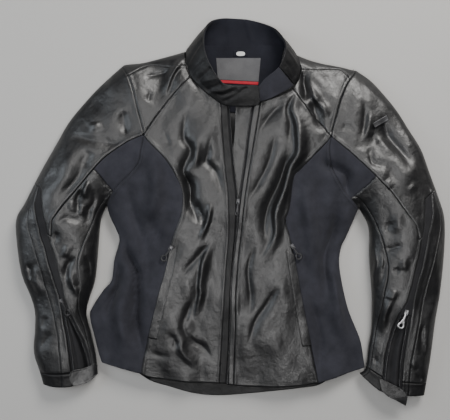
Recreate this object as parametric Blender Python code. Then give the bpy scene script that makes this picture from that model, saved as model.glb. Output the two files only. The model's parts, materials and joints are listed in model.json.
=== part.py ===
"""A leather motorcycle jacket, laid flat on its back with its front up.

Every cloth piece is a wall a little over a millimetre thick. The upper layer is a low dome that
falls to a folded rim along the sides, the sleeves and the shoulders. The lower layer lies flat on
the ground and curls up to the same rim. Sizes are in millimetres until the meshes are made.
X runs to the wearer's left, Y from hem to collar, Z up.
"""
import bpy
import numpy as np

MM = 0.001

# Driving sizes
WALL = 1.5             # leather and softshell with their backing
SEAM_GAP = 0.3         # between two pieces along a seam, and between stacked pieces
RIM_HEIGHT = 13.0      # height of the folded edge above the ground
RIM_CURL = 20.0        # how far in the lower layer curls up to the rim
BODY_DOME = 150.0      # distance from the rim at which the body is at full height
SLEEVE_DOME = 62.0     # the same for a sleeve
FOLD_FADE = 16.0       # folds die out over this distance from the rim
UNDER_SEAM = 55.0      # side panel's reach on the underside at the hem
WELT_WIDTH = 17.0      # pocket welt
ARMHOLE_PULL = 0.45    # share of the sleeve over which its sections turn from armhole to straight
CUFF_PULL = 0.16       # share of the sleeve that bends to the cuff's own line
INNER_SLOWNESS = 1.6   # the sleeve's inner edge is shorter, so its stations start slowly
BODY_ROWS = 20
SLEEVE_ROWS = 20
ORIGIN_SHIFT = (1.3, -4.3)  # moves the garment's own frame to the centre of its box

# Height of the dome, full height against y on the body: y, height
BODY_CROWN = [(-320, 25), (-250, 30), (-150, 37), (-50, 41), (60, 44), (160, 46), (260, 46)]
# and along a sleeve, from armhole to cuff: share of length, height
SLEEVE_CROWN = [(0.0, 46), (0.25, 50), (0.45, 48), (0.7, 41), (0.9, 35), (1.0, 31)]

# Outlines and seams of each half, as x, y. "right" is the wearer's right, at -x.
HALVES = {
    "right": {
        "body_edge": [(-233, -269), (-239, -250), (-246, -222), (-253, -193), (-252, -174), (-230, -139),
                      (-215, -121), (-210, -84), (-201, -50), (-206, -32), (-218, -6), (-224, 14)],
        "sleeve_inner": [(-224, 14), (-234, -11), (-238, -51), (-244, -117), (-254, -150), (-260, -173),
                         (-259, -193), (-251, -224), (-244, -257), (-240, -290)],
        "sleeve_outer": [(-197, 263), (-227, 236), (-251, 212), (-289, 167), (-313, 126), (-344, 71),
                         (-371, 18), (-386, -9), (-386, -50), (-377, -110), (-360, -152), (-353, -180),
                         (-353, -211), (-355, -251), (-344, -287), (-338, -308)],
        "shoulder": [(-197, 263), (-189, 267), (-160, 270), (-135, 276), (-105, 284), (-84, 290)],
        "armhole": [(-197, 263), (-184, 245), (-174, 218), (-165, 183), (-158, 156), (-155, 138),
                    (-160, 112), (-165, 89), (-181, 69), (-207, 43), (-224, 14)],
        "princess": [(-160, -287), (-155, -255), (-144, -207), (-128, -142), (-118, -108), (-107, -58),
                     (-98, -28), (-89, -5), (-85, 25), (-88, 45), (-98, 67), (-118, 98), (-144, 124),
                     (-155, 138)],
        "yoke_seam": [(-155, 138), (-143, 158), (-108, 206), (-73, 243)],
        "neck_side": [(-73, 243), (-79, 254), (-82, 264)],
        "shoulder_seam": [(-149, 264), (-112, 261), (-82, 264)],
        "neck_front": [(-73, 243), (-55, 224), (-35, 206), (-18, 198)],
        "front_edge": [(-21, -305), (-18, -253), (-14, -186), (-9, -101), (-4, -37), (-5, 27), (-11, 88),
                       (-15, 146), (-18, 198)],
        "front_hem": [(-160, -287), (-146, -294), (-111, -299), (-68, -303), (-21, -305)],
        "strip_edge": [(-10, -306), (-6, -253), (-4, -186), (-1, -118), (6, -37), (8, 4), (7, 35), (1, 88),
                       (-4, 145), (-7, 196)],
        "cuff": [(-338, -308), (-312, -311), (-287, -310), (-259, -304), (-240, -290)],
        "diagonal": [(-155, 138), (-176, 130), (-206, 111), (-224, 97), (-251, 67), (-271, 43), (-292, 18),
                     (-311, -7), (-323, -25), (-346, -55)],
        "inner_seam": [(-213, 41), (-232, 14), (-249, -23), (-263, -57), (-273, -91), (-269, -128),
                       (-262, -172), (-252, -208), (-247, -250)],
        "band_outer": [(-356, 60), (-349, 15), (-342, -16), (-330, -58), (-319, -102), (-304, -148),
                       (-298, -191), (-291, -228), (-286, -267), (-282, -320)],
        "band_inner": [(-344, 75), (-336, 22), (-325, -30), (-318, -56), (-302, -120), (-294, -146),
                       (-275, -185), (-262, -221), (-256, -249), (-254, -320)],
        "outer_seam": [(-372, 30), (-360, -16), (-350, -60), (-331, -128), (-317, -177), (-309, -217),
                       (-304, -257), (-302, -320)],
    },
    "left": {
        "body_edge": [(241, -278), (235, -238), (229, -218), (211, -173), (199, -121), (195, -86),
                      (199, -60), (207, -44), (221, -12), (230, 9)],
        "sleeve_inner": [(230, 9), (242, -11), (249, -34), (249, -78), (252, -121), (254, -157),
                         (253, -207), (248, -240), (243, -278), (232, -289)],
        "sleeve_outer": [(226, 256), (249, 240), (268, 221), (297, 186), (321, 148), (342, 114), (357, 73),
                         (374, 26), (384, -10), (384, -65), (377, -139), (368, -193), (359, -262),
                         (348, -328)],
        "shoulder": [(226, 256), (216, 258), (196, 263), (164, 269), (139, 276), (119, 284)],
        "armhole": [(226, 256), (207, 232), (195, 204), (186, 174), (179, 147), (177, 135), (174, 112),
                    (178, 86), (190, 58), (209, 31), (230, 9)],
        "princess": [(156, -304), (143, -236), (124, -143), (118, -108), (109, -62), (101, -32), (97, -12),
                     (104, 11), (111, 62), (122, 76), (143, 98), (166, 121), (177, 135)],
        "yoke_seam": [(177, 135), (161, 157), (145, 175), (127, 198), (110, 220)],
        "neck_side": [(110, 220), (121, 238), (126, 256)],
        "shoulder_seam": [(198, 256), (178, 258), (131, 256), (126, 256)],
        "neck_front": [(110, 220), (93, 212), (70, 203), (52, 196)],
        "front_edge": [(5, -309), (6, -253), (8, -186), (10, -118), (18, -37), (25, 27), (34, 88),
                       (44, 145), (52, 196)],
        "front_hem": [(156, -304), (124, -309), (70, -312), (30, -311), (5, -309)],
        "strip_edge": [(-4, -308), (-3, -254), (0, -186), (2, -118), (11, -37), (18, 27), (27, 88),
                       (34, 145), (42, 196)],
        "cuff": [(348, -328), (315, -327), (275, -321), (255, -310), (232, -289)],
        "diagonal": [(177, 135), (216, 102), (253, 66), (287, 29), (304, 5), (336, -35)],
        "inner_seam": [(217, 30), (229, 26), (248, 0), (262, -30), (272, -59), (279, -105), (267, -164),
                       (256, -207), (250, -250)],
        "band_outer": [(352, 70), (357, -2), (346, -44), (339, -90), (325, -140), (322, -168), (315, -207),
                       (308, -258), (303, -340)],
        "band_inner": [(340, 80), (344, 5), (339, -23), (334, -64), (323, -111), (313, -154), (304, -170),
                       (293, -190), (282, -222), (274, -258), (266, -330)],
        "outer_seam": [(366, 30), (374, -20), (364, -65), (354, -105), (341, -155), (328, -230),
                       (320, -266), (317, -340)],
    },
}
BACK_HEM = [(-178, -291), (-147, -304), (-112, -315), (-69, -327), (-25, -331), (27, -328), (71, -324),
            (125, -318), (160, -312), (186, -306)]
HEM_INSIDE = BACK_HEM[1:-1]

# Largest folds: height, half width, then the fold's line as x, y
FOLDS = [
    (-4.0, 9, [(-78, 191), (-82, 140), (-73, 113), (-87, 77), (-69, 44), (-73, 11), (-59, -19)]),
    (2.5, 8, [(-83, 277), (-96, 261), (-103, 245), (-116, 213)]),
    (-2.5, 7, [(-36, -49), (-59, -83)]),
    (-5.0, 10, [(-62, -137), (-77, -176), (-84, -201), (-77, -224), (-48, -249), (-29, -272)]),
    (3.0, 8, [(-57, -125), (-64, -171), (-62, -204)]),
    (3.0, 9, [(-94, -211), (-91, -238), (-77, -254)]),
    (5.0, 9, [(111, 225), (118, 205), (107, 180), (120, 141), (106, 85), (99, 53), (70, -23), (76, -55),
              (49, -93)]),
    (-6.0, 9, [(93, 71), (83, 41), (65, 0), (58, -28), (69, -58)]),
    (-5.0, 9, [(126, 205), (136, 170), (139, 129)]),
    (-3.5, 9, [(95, 147), (81, 99), (56, 58), (28, 18)]),
    (-4.0, 10, [(91, -119), (69, -153), (48, -187), (39, -213), (28, -238)]),
    (-3.5, 8, [(42, -43), (35, -83), (32, -119), (34, -186)]),
    (-4.0, 9, [(122, 262), (130, 242), (139, 217)]),
    (3.0, 8, [(140, 250), (152, 213)]),
    (-4.0, 10, [(162, 85), (208, 48), (224, 6)]),
    (-3.5, 11, [(-222, 11), (-192, -48), (-165, -115)]),
    (4.0, 14, [(-302, 23), (-275, 102)]),
    (-4.0, 11, [(-266, 76), (-249, 111)]),
    (-3.0, 9, [(-254, 57), (-254, 20)]),
    (-3.0, 9, [(-268, 25), (-268, -3), (-283, -11)]),
    (-3.0, 9, [(-277, -80), (-288, -94), (-293, -123)]),
]

# The collar, a stand that is folded flat at the back and rises round the neck.
# Each row is a section: x, y, z of its seam, then x, y, z of its top edge.
COLLAR = [
    (50, 192, 53, 50, 207, 58), (46, 189, 53, 46, 222, 62), (20, 187, 52, 22, 222, 64),
    (-12, 190, 48, -8, 224, 64), (-33, 203, 48, -20, 233, 65), (-54, 221, 46, -34, 254, 65),
    (-71, 242, 42, -45, 280, 64), (-79, 266, 34, -48, 300, 62), (-81, 284, 24, -47, 317, 56),
    (-80, 294, 13, -43, 331, 42), (-74, 300, 4, -38, 340, 30), (-58, 302, 0.4, -30, 347, 18),
    (-34, 302, 0, -14, 352, 9), (-4, 302, 0, 5, 352, 6), (30, 302, 0, 30, 350, 6),
    (62, 302, 0, 56, 343, 10), (92, 302, 0.4, 77, 332, 20), (107, 299, 4, 88, 318, 34),
    (115, 290, 13, 94, 304, 47), (120, 276, 25, 96, 290, 57), (123, 258, 36, 93, 277, 62),
    (120, 243, 42, 89, 266, 64), (111, 227, 45, 84, 255, 65),
]
COLLAR_END = [
    (110, 225, 46, 83, 254, 65), (93, 214, 48, 74, 246, 64), (70, 202, 49, 58, 234, 60),
    (53, 197, 49, 46, 220, 57), (38, 194, 48, 32, 214, 55),
]
COLLAR_COLUMNS, COLLAR_END_COLUMNS, COLLAR_ROWS = 34, 6, 3
LINING_FROM = 10       # first collar column whose inside shows

# Storm flap behind the open front: x, y of its free edge and of the edge under the placket
FLAP_FREE = [(8, 190), (7, 156), (5, 130), (2, 101), (1, 73), (4, 41), (8, 18)]
FLAP_SEWN = [(47, 190), (42, 156), (35, 130), (29, 101), (24, 73), (18, 41), (14, 18)]

# Places of the hard pieces: x, y of the slider, then of the ring's centre
POCKET_PULLS = {"right": ((-108, -64), (-119, -80)), "left": ((110, -61), (120, -77))}
CUFF_PULLS = {"right": ((-299, -158), (-290, -177)), "left": ((309, -178), (301, -199))}
FRONT_PULL = ((12, 18), (10, -1))
WELT_ROWS = range(3, 10)    # rows of the front that a pocket welt covers

# Materials: base colour, roughness, metallic
LEATHER = ((0.020, 0.020, 0.022), 0.42, 0.0)
SOFTSHELL = ((0.034, 0.037, 0.048), 0.9, 0.0)
LINING = ((0.016, 0.017, 0.024), 0.85, 0.0)
LABEL = ((0.10, 0.10, 0.105), 0.8, 0.0)
RED = ((0.45, 0.02, 0.03), 0.6, 0.0)
TAPE = ((0.012, 0.012, 0.014), 0.8, 0.0)
METAL = ((0.55, 0.55, 0.56), 0.3, 1.0)
BADGE = ((0.24, 0.25, 0.26), 0.5, 0.3)


def smooth(table, steps=8):
    """A Catmull-Rom curve through the rows of a table."""
    p = np.array(table, float)
    before = np.vstack([2 * p[0] - p[1], p[:-1]])[:-1]
    after = np.vstack([p[1:], 2 * p[-1] - p[-2]])[1:]
    a = before[:, None]
    b = p[:-1, None]
    c = p[1:, None]
    d = after[:, None]
    t = np.linspace(0, 1, steps, endpoint=False)[None, :, None]
    curve = 0.5 * (2 * b + (c - a) * t + (2 * a - 5 * b + 4 * c - d) * t ** 2 + (3 * b - a - 3 * c + d) * t ** 3)
    return np.vstack([curve.reshape(-1, p.shape[1]), p[-1:]])


def along(curve, shares):
    """Points of a polyline at the given shares of its length."""
    steps = np.linalg.norm(np.diff(curve[:, :2], axis=0), axis=1)
    length = np.concatenate([[0], np.cumsum(steps)])
    where = np.asarray(shares, float) * length[-1]
    return np.stack([np.interp(where, length, curve[:, k]) for k in range(curve.shape[1])], axis=-1)


def distance(points, line):
    """Distance of each plan point from a polyline."""
    p = points.reshape(-1, 1, 2)
    a = line[None, :-1]
    d = line[None, 1:] - a
    t = np.clip(((p - a) * d).sum(-1) / (d * d).sum(-1), 0, 1)
    gap = np.linalg.norm(p - a - t[..., None] * d, axis=-1)
    return gap.min(axis=1).reshape(points.shape[:-1])


RIMS = [smooth(HALVES[half][edge], 4) for half in HALVES
        for edge in ("body_edge", "sleeve_inner", "sleeve_outer", "shoulder")]


def rim_distance(points):
    return np.min([distance(points, rim) for rim in RIMS], axis=0)


def fold_height(points):
    """Sum of soft ridges and troughs: height * exp(-(distance / width)^2)."""
    total = np.zeros(points.shape[:-1])
    for height, width, line in FOLDS:
        total += height * np.exp(-(distance(points, np.array(line, float)) / width) ** 2)
    return total


def body_crown(points):
    ys, heights = zip(*BODY_CROWN)
    return np.interp(points[..., 1], ys, heights)


def top_height(points, crown, dome):
    """Quarter ellipse from the rim up to the crown, with the folds added."""
    d = rim_distance(points)
    rise = np.sqrt(1 - (1 - np.clip(d / dome, 0, 1)) ** 2)
    return RIM_HEIGHT + (crown - RIM_HEIGHT) * rise + fold_height(points) * np.clip(d / FOLD_FADE, 0, 1)


def bottom_height(points):
    """Flat on the ground, curling up to the rim in a quarter ellipse."""
    curl = 1 - np.clip(rim_distance(points) / RIM_CURL, 0, 1)
    return RIM_HEIGHT * (1 - np.sqrt(1 - curl ** 2))


def on_top(points):
    """Plan points of the body lifted to its upper layer."""
    return np.dstack([points, top_height(points, body_crown(points), BODY_DOME)])


def on_ground(points):
    return np.dstack([points, bottom_height(points)])


def blend(first, last, share):
    return first + (last - first) * share


def patch(bottom, top, left, right):
    """Coons patch between four curves of points: rows run from bottom to top."""
    def shares(curve):
        length = np.concatenate([[0], np.cumsum(np.linalg.norm(np.diff(curve, axis=0), axis=1))])
        return length / length[-1]
    s = 0.5 * (shares(left) + shares(right))[:, None, None]
    t = 0.5 * (shares(bottom) + shares(top))[None, :, None]
    sides = blend(left[:, None], right[:, None], t) + blend(bottom[None], top[None], s)
    corners = blend(blend(bottom[0], bottom[-1], t), blend(top[0], top[-1], t), s)
    return sides - corners


class Skin:
    """Points shared by neighbouring pieces, so that their seams and normals agree."""

    def __init__(self):
        self.points = []
        self.index = {}
        self.pieces = {}
        self.grids = {}

    def add(self, name, grid, up=True, cells=None, test=(0, 3)):
        """Adds cells of a grid of points (rows, columns, xyz), turned so that the test cell faces up."""
        i, j = (min(test[k], grid.shape[k] - 2) for k in (0, 1))
        faces_up = np.cross(grid[i + 1, j + 1] - grid[i, j], grid[i + 1, j] - grid[i, j + 1])[2] > 0
        flip = faces_up != up
        ids = np.empty(grid.shape[:2], int)
        for place in np.ndindex(ids.shape):
            key = tuple(np.round(grid[place], 2))
            if key not in self.index:
                self.index[key] = len(self.points)
                self.points.append(grid[place])
            ids[place] = self.index[key]
        self.grids[name] = ids, flip
        cells = cells or np.ndindex(ids.shape[0] - 1, ids.shape[1] - 1)
        self.pieces.setdefault(name, []).extend(self.quads(name, cells))

    def quads(self, name, cells):
        """Corners of some cells of the grid last added to a piece."""
        ids, flip = self.grids[name]
        found = [[ids[i, j], ids[i, j + 1], ids[i + 1, j + 1], ids[i + 1, j]] for i, j in cells]
        return [corners[::-1] if flip else corners for corners in found]

    def normals(self):
        points = np.array(self.points)
        quads = np.array([quad for quads in self.pieces.values() for quad in quads])
        corners = points[quads]
        faces = np.cross(corners[:, 2] - corners[:, 0], corners[:, 3] - corners[:, 1])
        total = np.zeros_like(points)
        for k in range(4):
            np.add.at(total, quads[:, k], faces)
        return total / np.maximum(np.linalg.norm(total, axis=1, keepdims=True), 1e-9)


def border(quads):
    """Directed edges that only one quad uses."""
    edges = {(q[k], q[(k + 1) % 4]) for q in quads for k in range(4)}
    return [edge for edge in edges if edge[::-1] not in edges]


def wall(name, points, normals, quads, material, lift=0.0, thickness=WALL):
    """A closed wall: the quads moved out by lift, and again moved in by the thickness."""
    used = sorted({corner for quad in quads for corner in quad})
    place = {old: new for new, old in enumerate(used)}
    quads = [[place[corner] for corner in quad] for quad in quads]
    outer = points[used].copy()
    normal = normals[used]
    edges = border(quads)
    inward = np.zeros_like(outer)
    for a, b in edges:
        along_edge = outer[b] - outer[a]
        side = np.cross(normal[a] + normal[b], along_edge)
        side /= np.linalg.norm(side)
        inward[a] += side
        inward[b] += side
    size = (inward ** 2).sum(axis=1, keepdims=True)
    inward = np.where(size > 0.3, 2 * inward / np.maximum(size, 0.3), inward)
    outer += inward * SEAM_GAP / 2 + normal * lift
    outer[:, 2] = np.maximum(outer[:, 2], 0)
    inner = outer - normal * thickness
    count = len(used)
    faces = []
    for a, b, c, d in quads:
        faces += [(a, b, c), (a, c, d)]
        faces += [(count + c, count + b, count + a), (count + d, count + c, count + a)]
    for a, b in edges:
        faces += [(b, a, count + a), (b, count + a, count + b)]
    return add_object(name, np.vstack([outer, inner]), faces, material)


def add_object(name, points, faces, material, origin=(0, 0, 0)):
    """One named object, its mesh about its origin; points and origin are in millimetres."""
    shift = np.array([ORIGIN_SHIFT[0], ORIGIN_SHIFT[1], 0.0])
    place = np.array(origin, float) + shift
    mesh = bpy.data.meshes.new(name)
    mesh.from_pydata(((points - np.array(origin)) * MM).tolist(), [], [list(map(int, f)) for f in faces])
    mesh.update()
    obj = bpy.data.objects.new(name, mesh)
    obj.location = place * MM
    bpy.context.scene.collection.objects.link(obj)
    mesh.materials.append(material)
    return obj


def make_material(name, look):
    colour, roughness, metallic = look
    material = bpy.data.materials.new(name)
    material.use_nodes = True
    shader = material.node_tree.nodes["Principled BSDF"]
    shader.inputs["Base Color"].default_value = (*colour, 1)
    shader.inputs["Roughness"].default_value = roughness
    shader.inputs["Metallic"].default_value = metallic
    return material


# Sleeve

# Its ring of points: top columns from the outer rim over to the inner rim, then back underneath
OUTER_SEAM, BAND_OUTER, BAND_INNER, DIAGONAL, INNER_SEAM, INNER_RIM = 2, 3, 5, 7, 9, 12
UNDER_INNER, UNDER_OUTER, RING = 15, 18, 21
NEAR_RIM = (4.0, 14.0)             # distances of the columns beside a rim, on top
UNDER_RIM = (4.0, 12.0, 24.0)      # and underneath
UNDER_MIDDLE = [0.64, 0.34]        # shares of the two seams of the panel underneath
# Shares of the armhole at which seams start that never reach it: shoulder seam, band, inner seam
ARMHOLE_STARTS = {"outer_seam": 0.08, "band_outer": 0.17, "band_inner": 0.34, "inner_seam": 0.80}
CUFF_BAND = 0.035                  # the cuff band's share of the sleeve
GUSSET_END, BAND_START, ZIP_START = 0.24, 0.42, 0.74   # shares of the sleeve's length


class Sleeve:
    """A tube of sections. Section u runs from the armhole (0) to the cuff (1)."""

    def __init__(self, half):
        curves = HALVES[half]
        self.half = half
        self.outer = smooth(curves["sleeve_outer"])
        self.inner = smooth(curves["sleeve_inner"])
        self.armhole = smooth(curves["armhole"])
        self.cuff = smooth(curves["cuff"])
        self.rows = np.append(np.linspace(0, 1 - CUFF_BAND, SLEEVE_ROWS), 1.0)
        self.seams = {name: smooth(curves[name]) for name in
                      ("outer_seam", "band_outer", "band_inner", "diagonal", "inner_seam")}
        self.found = {}
        self.ring_shares = [self.ring_row(u) for u in self.rows]
        self.grid = np.stack([self.lift(u, shares) for u, shares in zip(self.rows, self.ring_shares)])

    def plan(self, u, v):
        """Section u at share v from the outer to the inner rim: straight, but for armhole and cuff."""
        v = np.asarray(v, float)[..., None]
        outer = along(self.outer, [0, u, 1])
        inner = along(self.inner, [0, u ** INNER_SLOWNESS, 1])
        first, here, last = [blend(outer[k], inner[k], v) for k in range(3)]
        near_armhole = max(0.0, 1 - u / ARMHOLE_PULL) ** 2
        near_cuff = max(0.0, 1 - (1 - u) / CUFF_PULL) ** 2
        return (here + near_armhole * (along(self.armhole, v[..., 0]) - first)
                + near_cuff * (along(self.cuff, v[..., 0]) - last))

    def crossing(self, u, seam):
        """Share v at which section u meets a seam, or None."""
        v = np.linspace(0, 1, 81)
        line = self.plan(u, v)
        a = line[:-1, None]
        r = line[1:, None] - a
        c = seam[None, :-1] - a
        s = seam[None, 1:] - seam[None, :-1]
        turn = r[..., 0] * s[..., 1] - r[..., 1] * s[..., 0]
        turn = np.where(np.abs(turn) < 1e-9, 1e-9, turn)
        t = (c[..., 0] * s[..., 1] - c[..., 1] * s[..., 0]) / turn
        w = (c[..., 0] * r[..., 1] - c[..., 1] * r[..., 0]) / turn
        hits = np.argwhere((t >= 0) & (t <= 1) & (w >= 0) & (w <= 1))
        if len(hits) == 0:
            return None
        return v[hits[0][0]] + t[tuple(hits[0])] / 80

    def seam_share(self, name, u):
        """A seam's share v in section u, drawn on straight to the armhole and to the cuff."""
        if name not in self.found:
            start = ARMHOLE_STARTS.get(name)
            if start is None:
                start = share_of(self.armhole, HALVES[self.half][name][0])
            stations = np.linspace(0.02, 1, 50)
            met = [(station, self.crossing(station, self.seams[name])) for station in stations]
            self.found[name] = [(0.0, start)] + [pair for pair in met if pair[1] is not None]
        return np.interp(u, *zip(*self.found[name]))

    def ring_row(self, u):
        """Shares v of the whole ring: top columns in order, each clear of the one before, then below."""
        width = np.linalg.norm(self.plan(u, [0.0]) - self.plan(u, [1.0]))
        if u == 0:
            width = np.linalg.norm(np.diff(self.armhole, axis=0), axis=1).sum()
        top = np.zeros(INNER_RIM + 1)
        top[INNER_RIM] = 1
        top[INNER_RIM - 1] = 1 - NEAR_RIM[0] / width
        top[INNER_RIM - 2] = 1 - min(NEAR_RIM[1] / width, 0.10)
        seams = [(OUTER_SEAM, "outer_seam", 8), (BAND_OUTER, "band_outer", 5),
                 (BAND_INNER, "band_inner", 6), (DIAGONAL, "diagonal", 7), (INNER_SEAM, "inner_seam", 8)]
        before = 0.0
        for column, name, least in seams:
            top[column] = max(self.seam_share(name, u), before + least / width)
            before = top[column]
        after = top[INNER_RIM - 2]
        for column, _, _ in reversed(seams):
            top[column] = min(top[column], after - 4.0 / width)
            after = top[column]
        for column in (1, 4, 6, 8):
            top[column] = 0.5 * (top[column - 1] + top[column + 1])
        near = [distance_below / width for distance_below in UNDER_RIM]
        below = [1 - share for share in near] + UNDER_MIDDLE + near[::-1] + [0.0]
        return np.concatenate([top, below])

    def crown(self, u, points):
        """Full height and dome width of section u; at the armhole they are the body's."""
        shares, heights = zip(*SLEEVE_CROWN)
        turn = np.clip(u / 0.3, 0, 1)
        turn = turn * turn * (3 - 2 * turn)
        height = blend(body_crown(points), np.interp(u, shares, heights), turn)
        return height, blend(BODY_DOME, SLEEVE_DOME, turn)

    def lift(self, u, shares):
        """The 3-D points of section u at ring shares."""
        points = self.plan(u, shares)
        height, dome = self.crown(u, points)
        z = top_height(points, height, dome)
        z[INNER_RIM + 1:-1] = bottom_height(points)[INNER_RIM + 1:-1]
        return np.column_stack([points, z])

    def height(self, point):
        """Surface height at x, y, by way of the section that passes nearest."""
        point = np.array(point, float)
        stations = np.linspace(0, 1, 101)
        across = np.linspace(0, 1, 41)
        gaps = [np.linalg.norm(self.plan(u, across) - point, axis=1).min() for u in stations]
        u = stations[int(np.argmin(gaps))]
        return float(top_height(point, *self.crown(u, point)))

    def row(self, share):
        """The row nearest a share of the sleeve's length."""
        return int(np.argmin(np.abs(self.rows - share)))

    def meeting_row(self):
        """The row at which the diagonal seam runs into the band."""
        for i, shares in enumerate(self.ring_shares):
            width = np.linalg.norm(self.grid[i, 0, :2] - self.grid[i, INNER_RIM, :2])
            raw = self.seam_share("diagonal", self.rows[i])
            if self.rows[i] > BAND_START and raw < shares[BAND_INNER] + 7.5 / width:
                return i
        return len(self.rows) - 1

    def piece_of(self, i, k):
        """Which piece holds the cell in row i and ring column k."""
        gusset = self.row(GUSSET_END)
        band = self.row(BAND_START)
        slit = self.row(ZIP_START)
        meet = self.meeting_row()
        if k in (BAND_OUTER, BAND_OUTER + 1) and i >= slit:
            return "cuff_gusset"
        if i == len(self.rows) - 2:
            return "cuff_band"
        if k in (BAND_OUTER, BAND_OUTER + 1) and i >= band:
            return "sleeve_band"
        if UNDER_INNER <= k < UNDER_OUTER:
            return "sleeve_back"
        if UNDER_OUTER <= k:
            return "sleeve_upper" if i < band else "sleeve_back"
        if DIAGONAL <= k < UNDER_INNER and i < gusset:
            return "underarm_gusset"
        if INNER_SEAM <= k < UNDER_INNER:
            return "sleeve_inner"
        if DIAGONAL <= k or (BAND_INNER <= k and i >= meet):
            return "sleeve_front"
        if BAND_INNER <= k or i < band:
            return "sleeve_upper"
        if k == OUTER_SEAM:
            return "sleeve_outer"
        return "sleeve_back"

    def add_to(self, skin):
        cells = {}
        for i, k in np.ndindex(len(self.rows) - 1, RING):
            cells.setdefault(self.piece_of(i, k), []).append((i, k))
        for piece, places in cells.items():
            skin.add(f"{piece}_{self.half}", self.grid, up=True, cells=places)


def share_of(curve, point):
    """Share of a curve's length at its nearest point."""
    nearest = np.argmin(np.linalg.norm(curve - np.array(point, float), axis=1))
    steps = np.linalg.norm(np.diff(curve, axis=0), axis=1)
    return steps[:nearest].sum() / steps.sum()


GUSSET_DEPTH = 2.4     # the cuff's gusset lies below the leather's face

# Body

YOKE_CELLS, NECK_CELLS, BACK_NECK_CELLS = 5, 4, 6
ABOVE_RIM = 0.45       # extra row between the shoulder's rim and the shoulder seam
BACK_NECK = [(-62, 300), (-22, 301), (22, 301), (66, 301), (100, 300)]   # back neck seam: x, y
BACK_YOKE_DROP = [(-72, 205), (108, 200)]    # where the back yoke seam passes below the neck's ends


def with_ends(curve, first, last):
    curve[0] = first
    curve[-1] = last
    return curve


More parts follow.
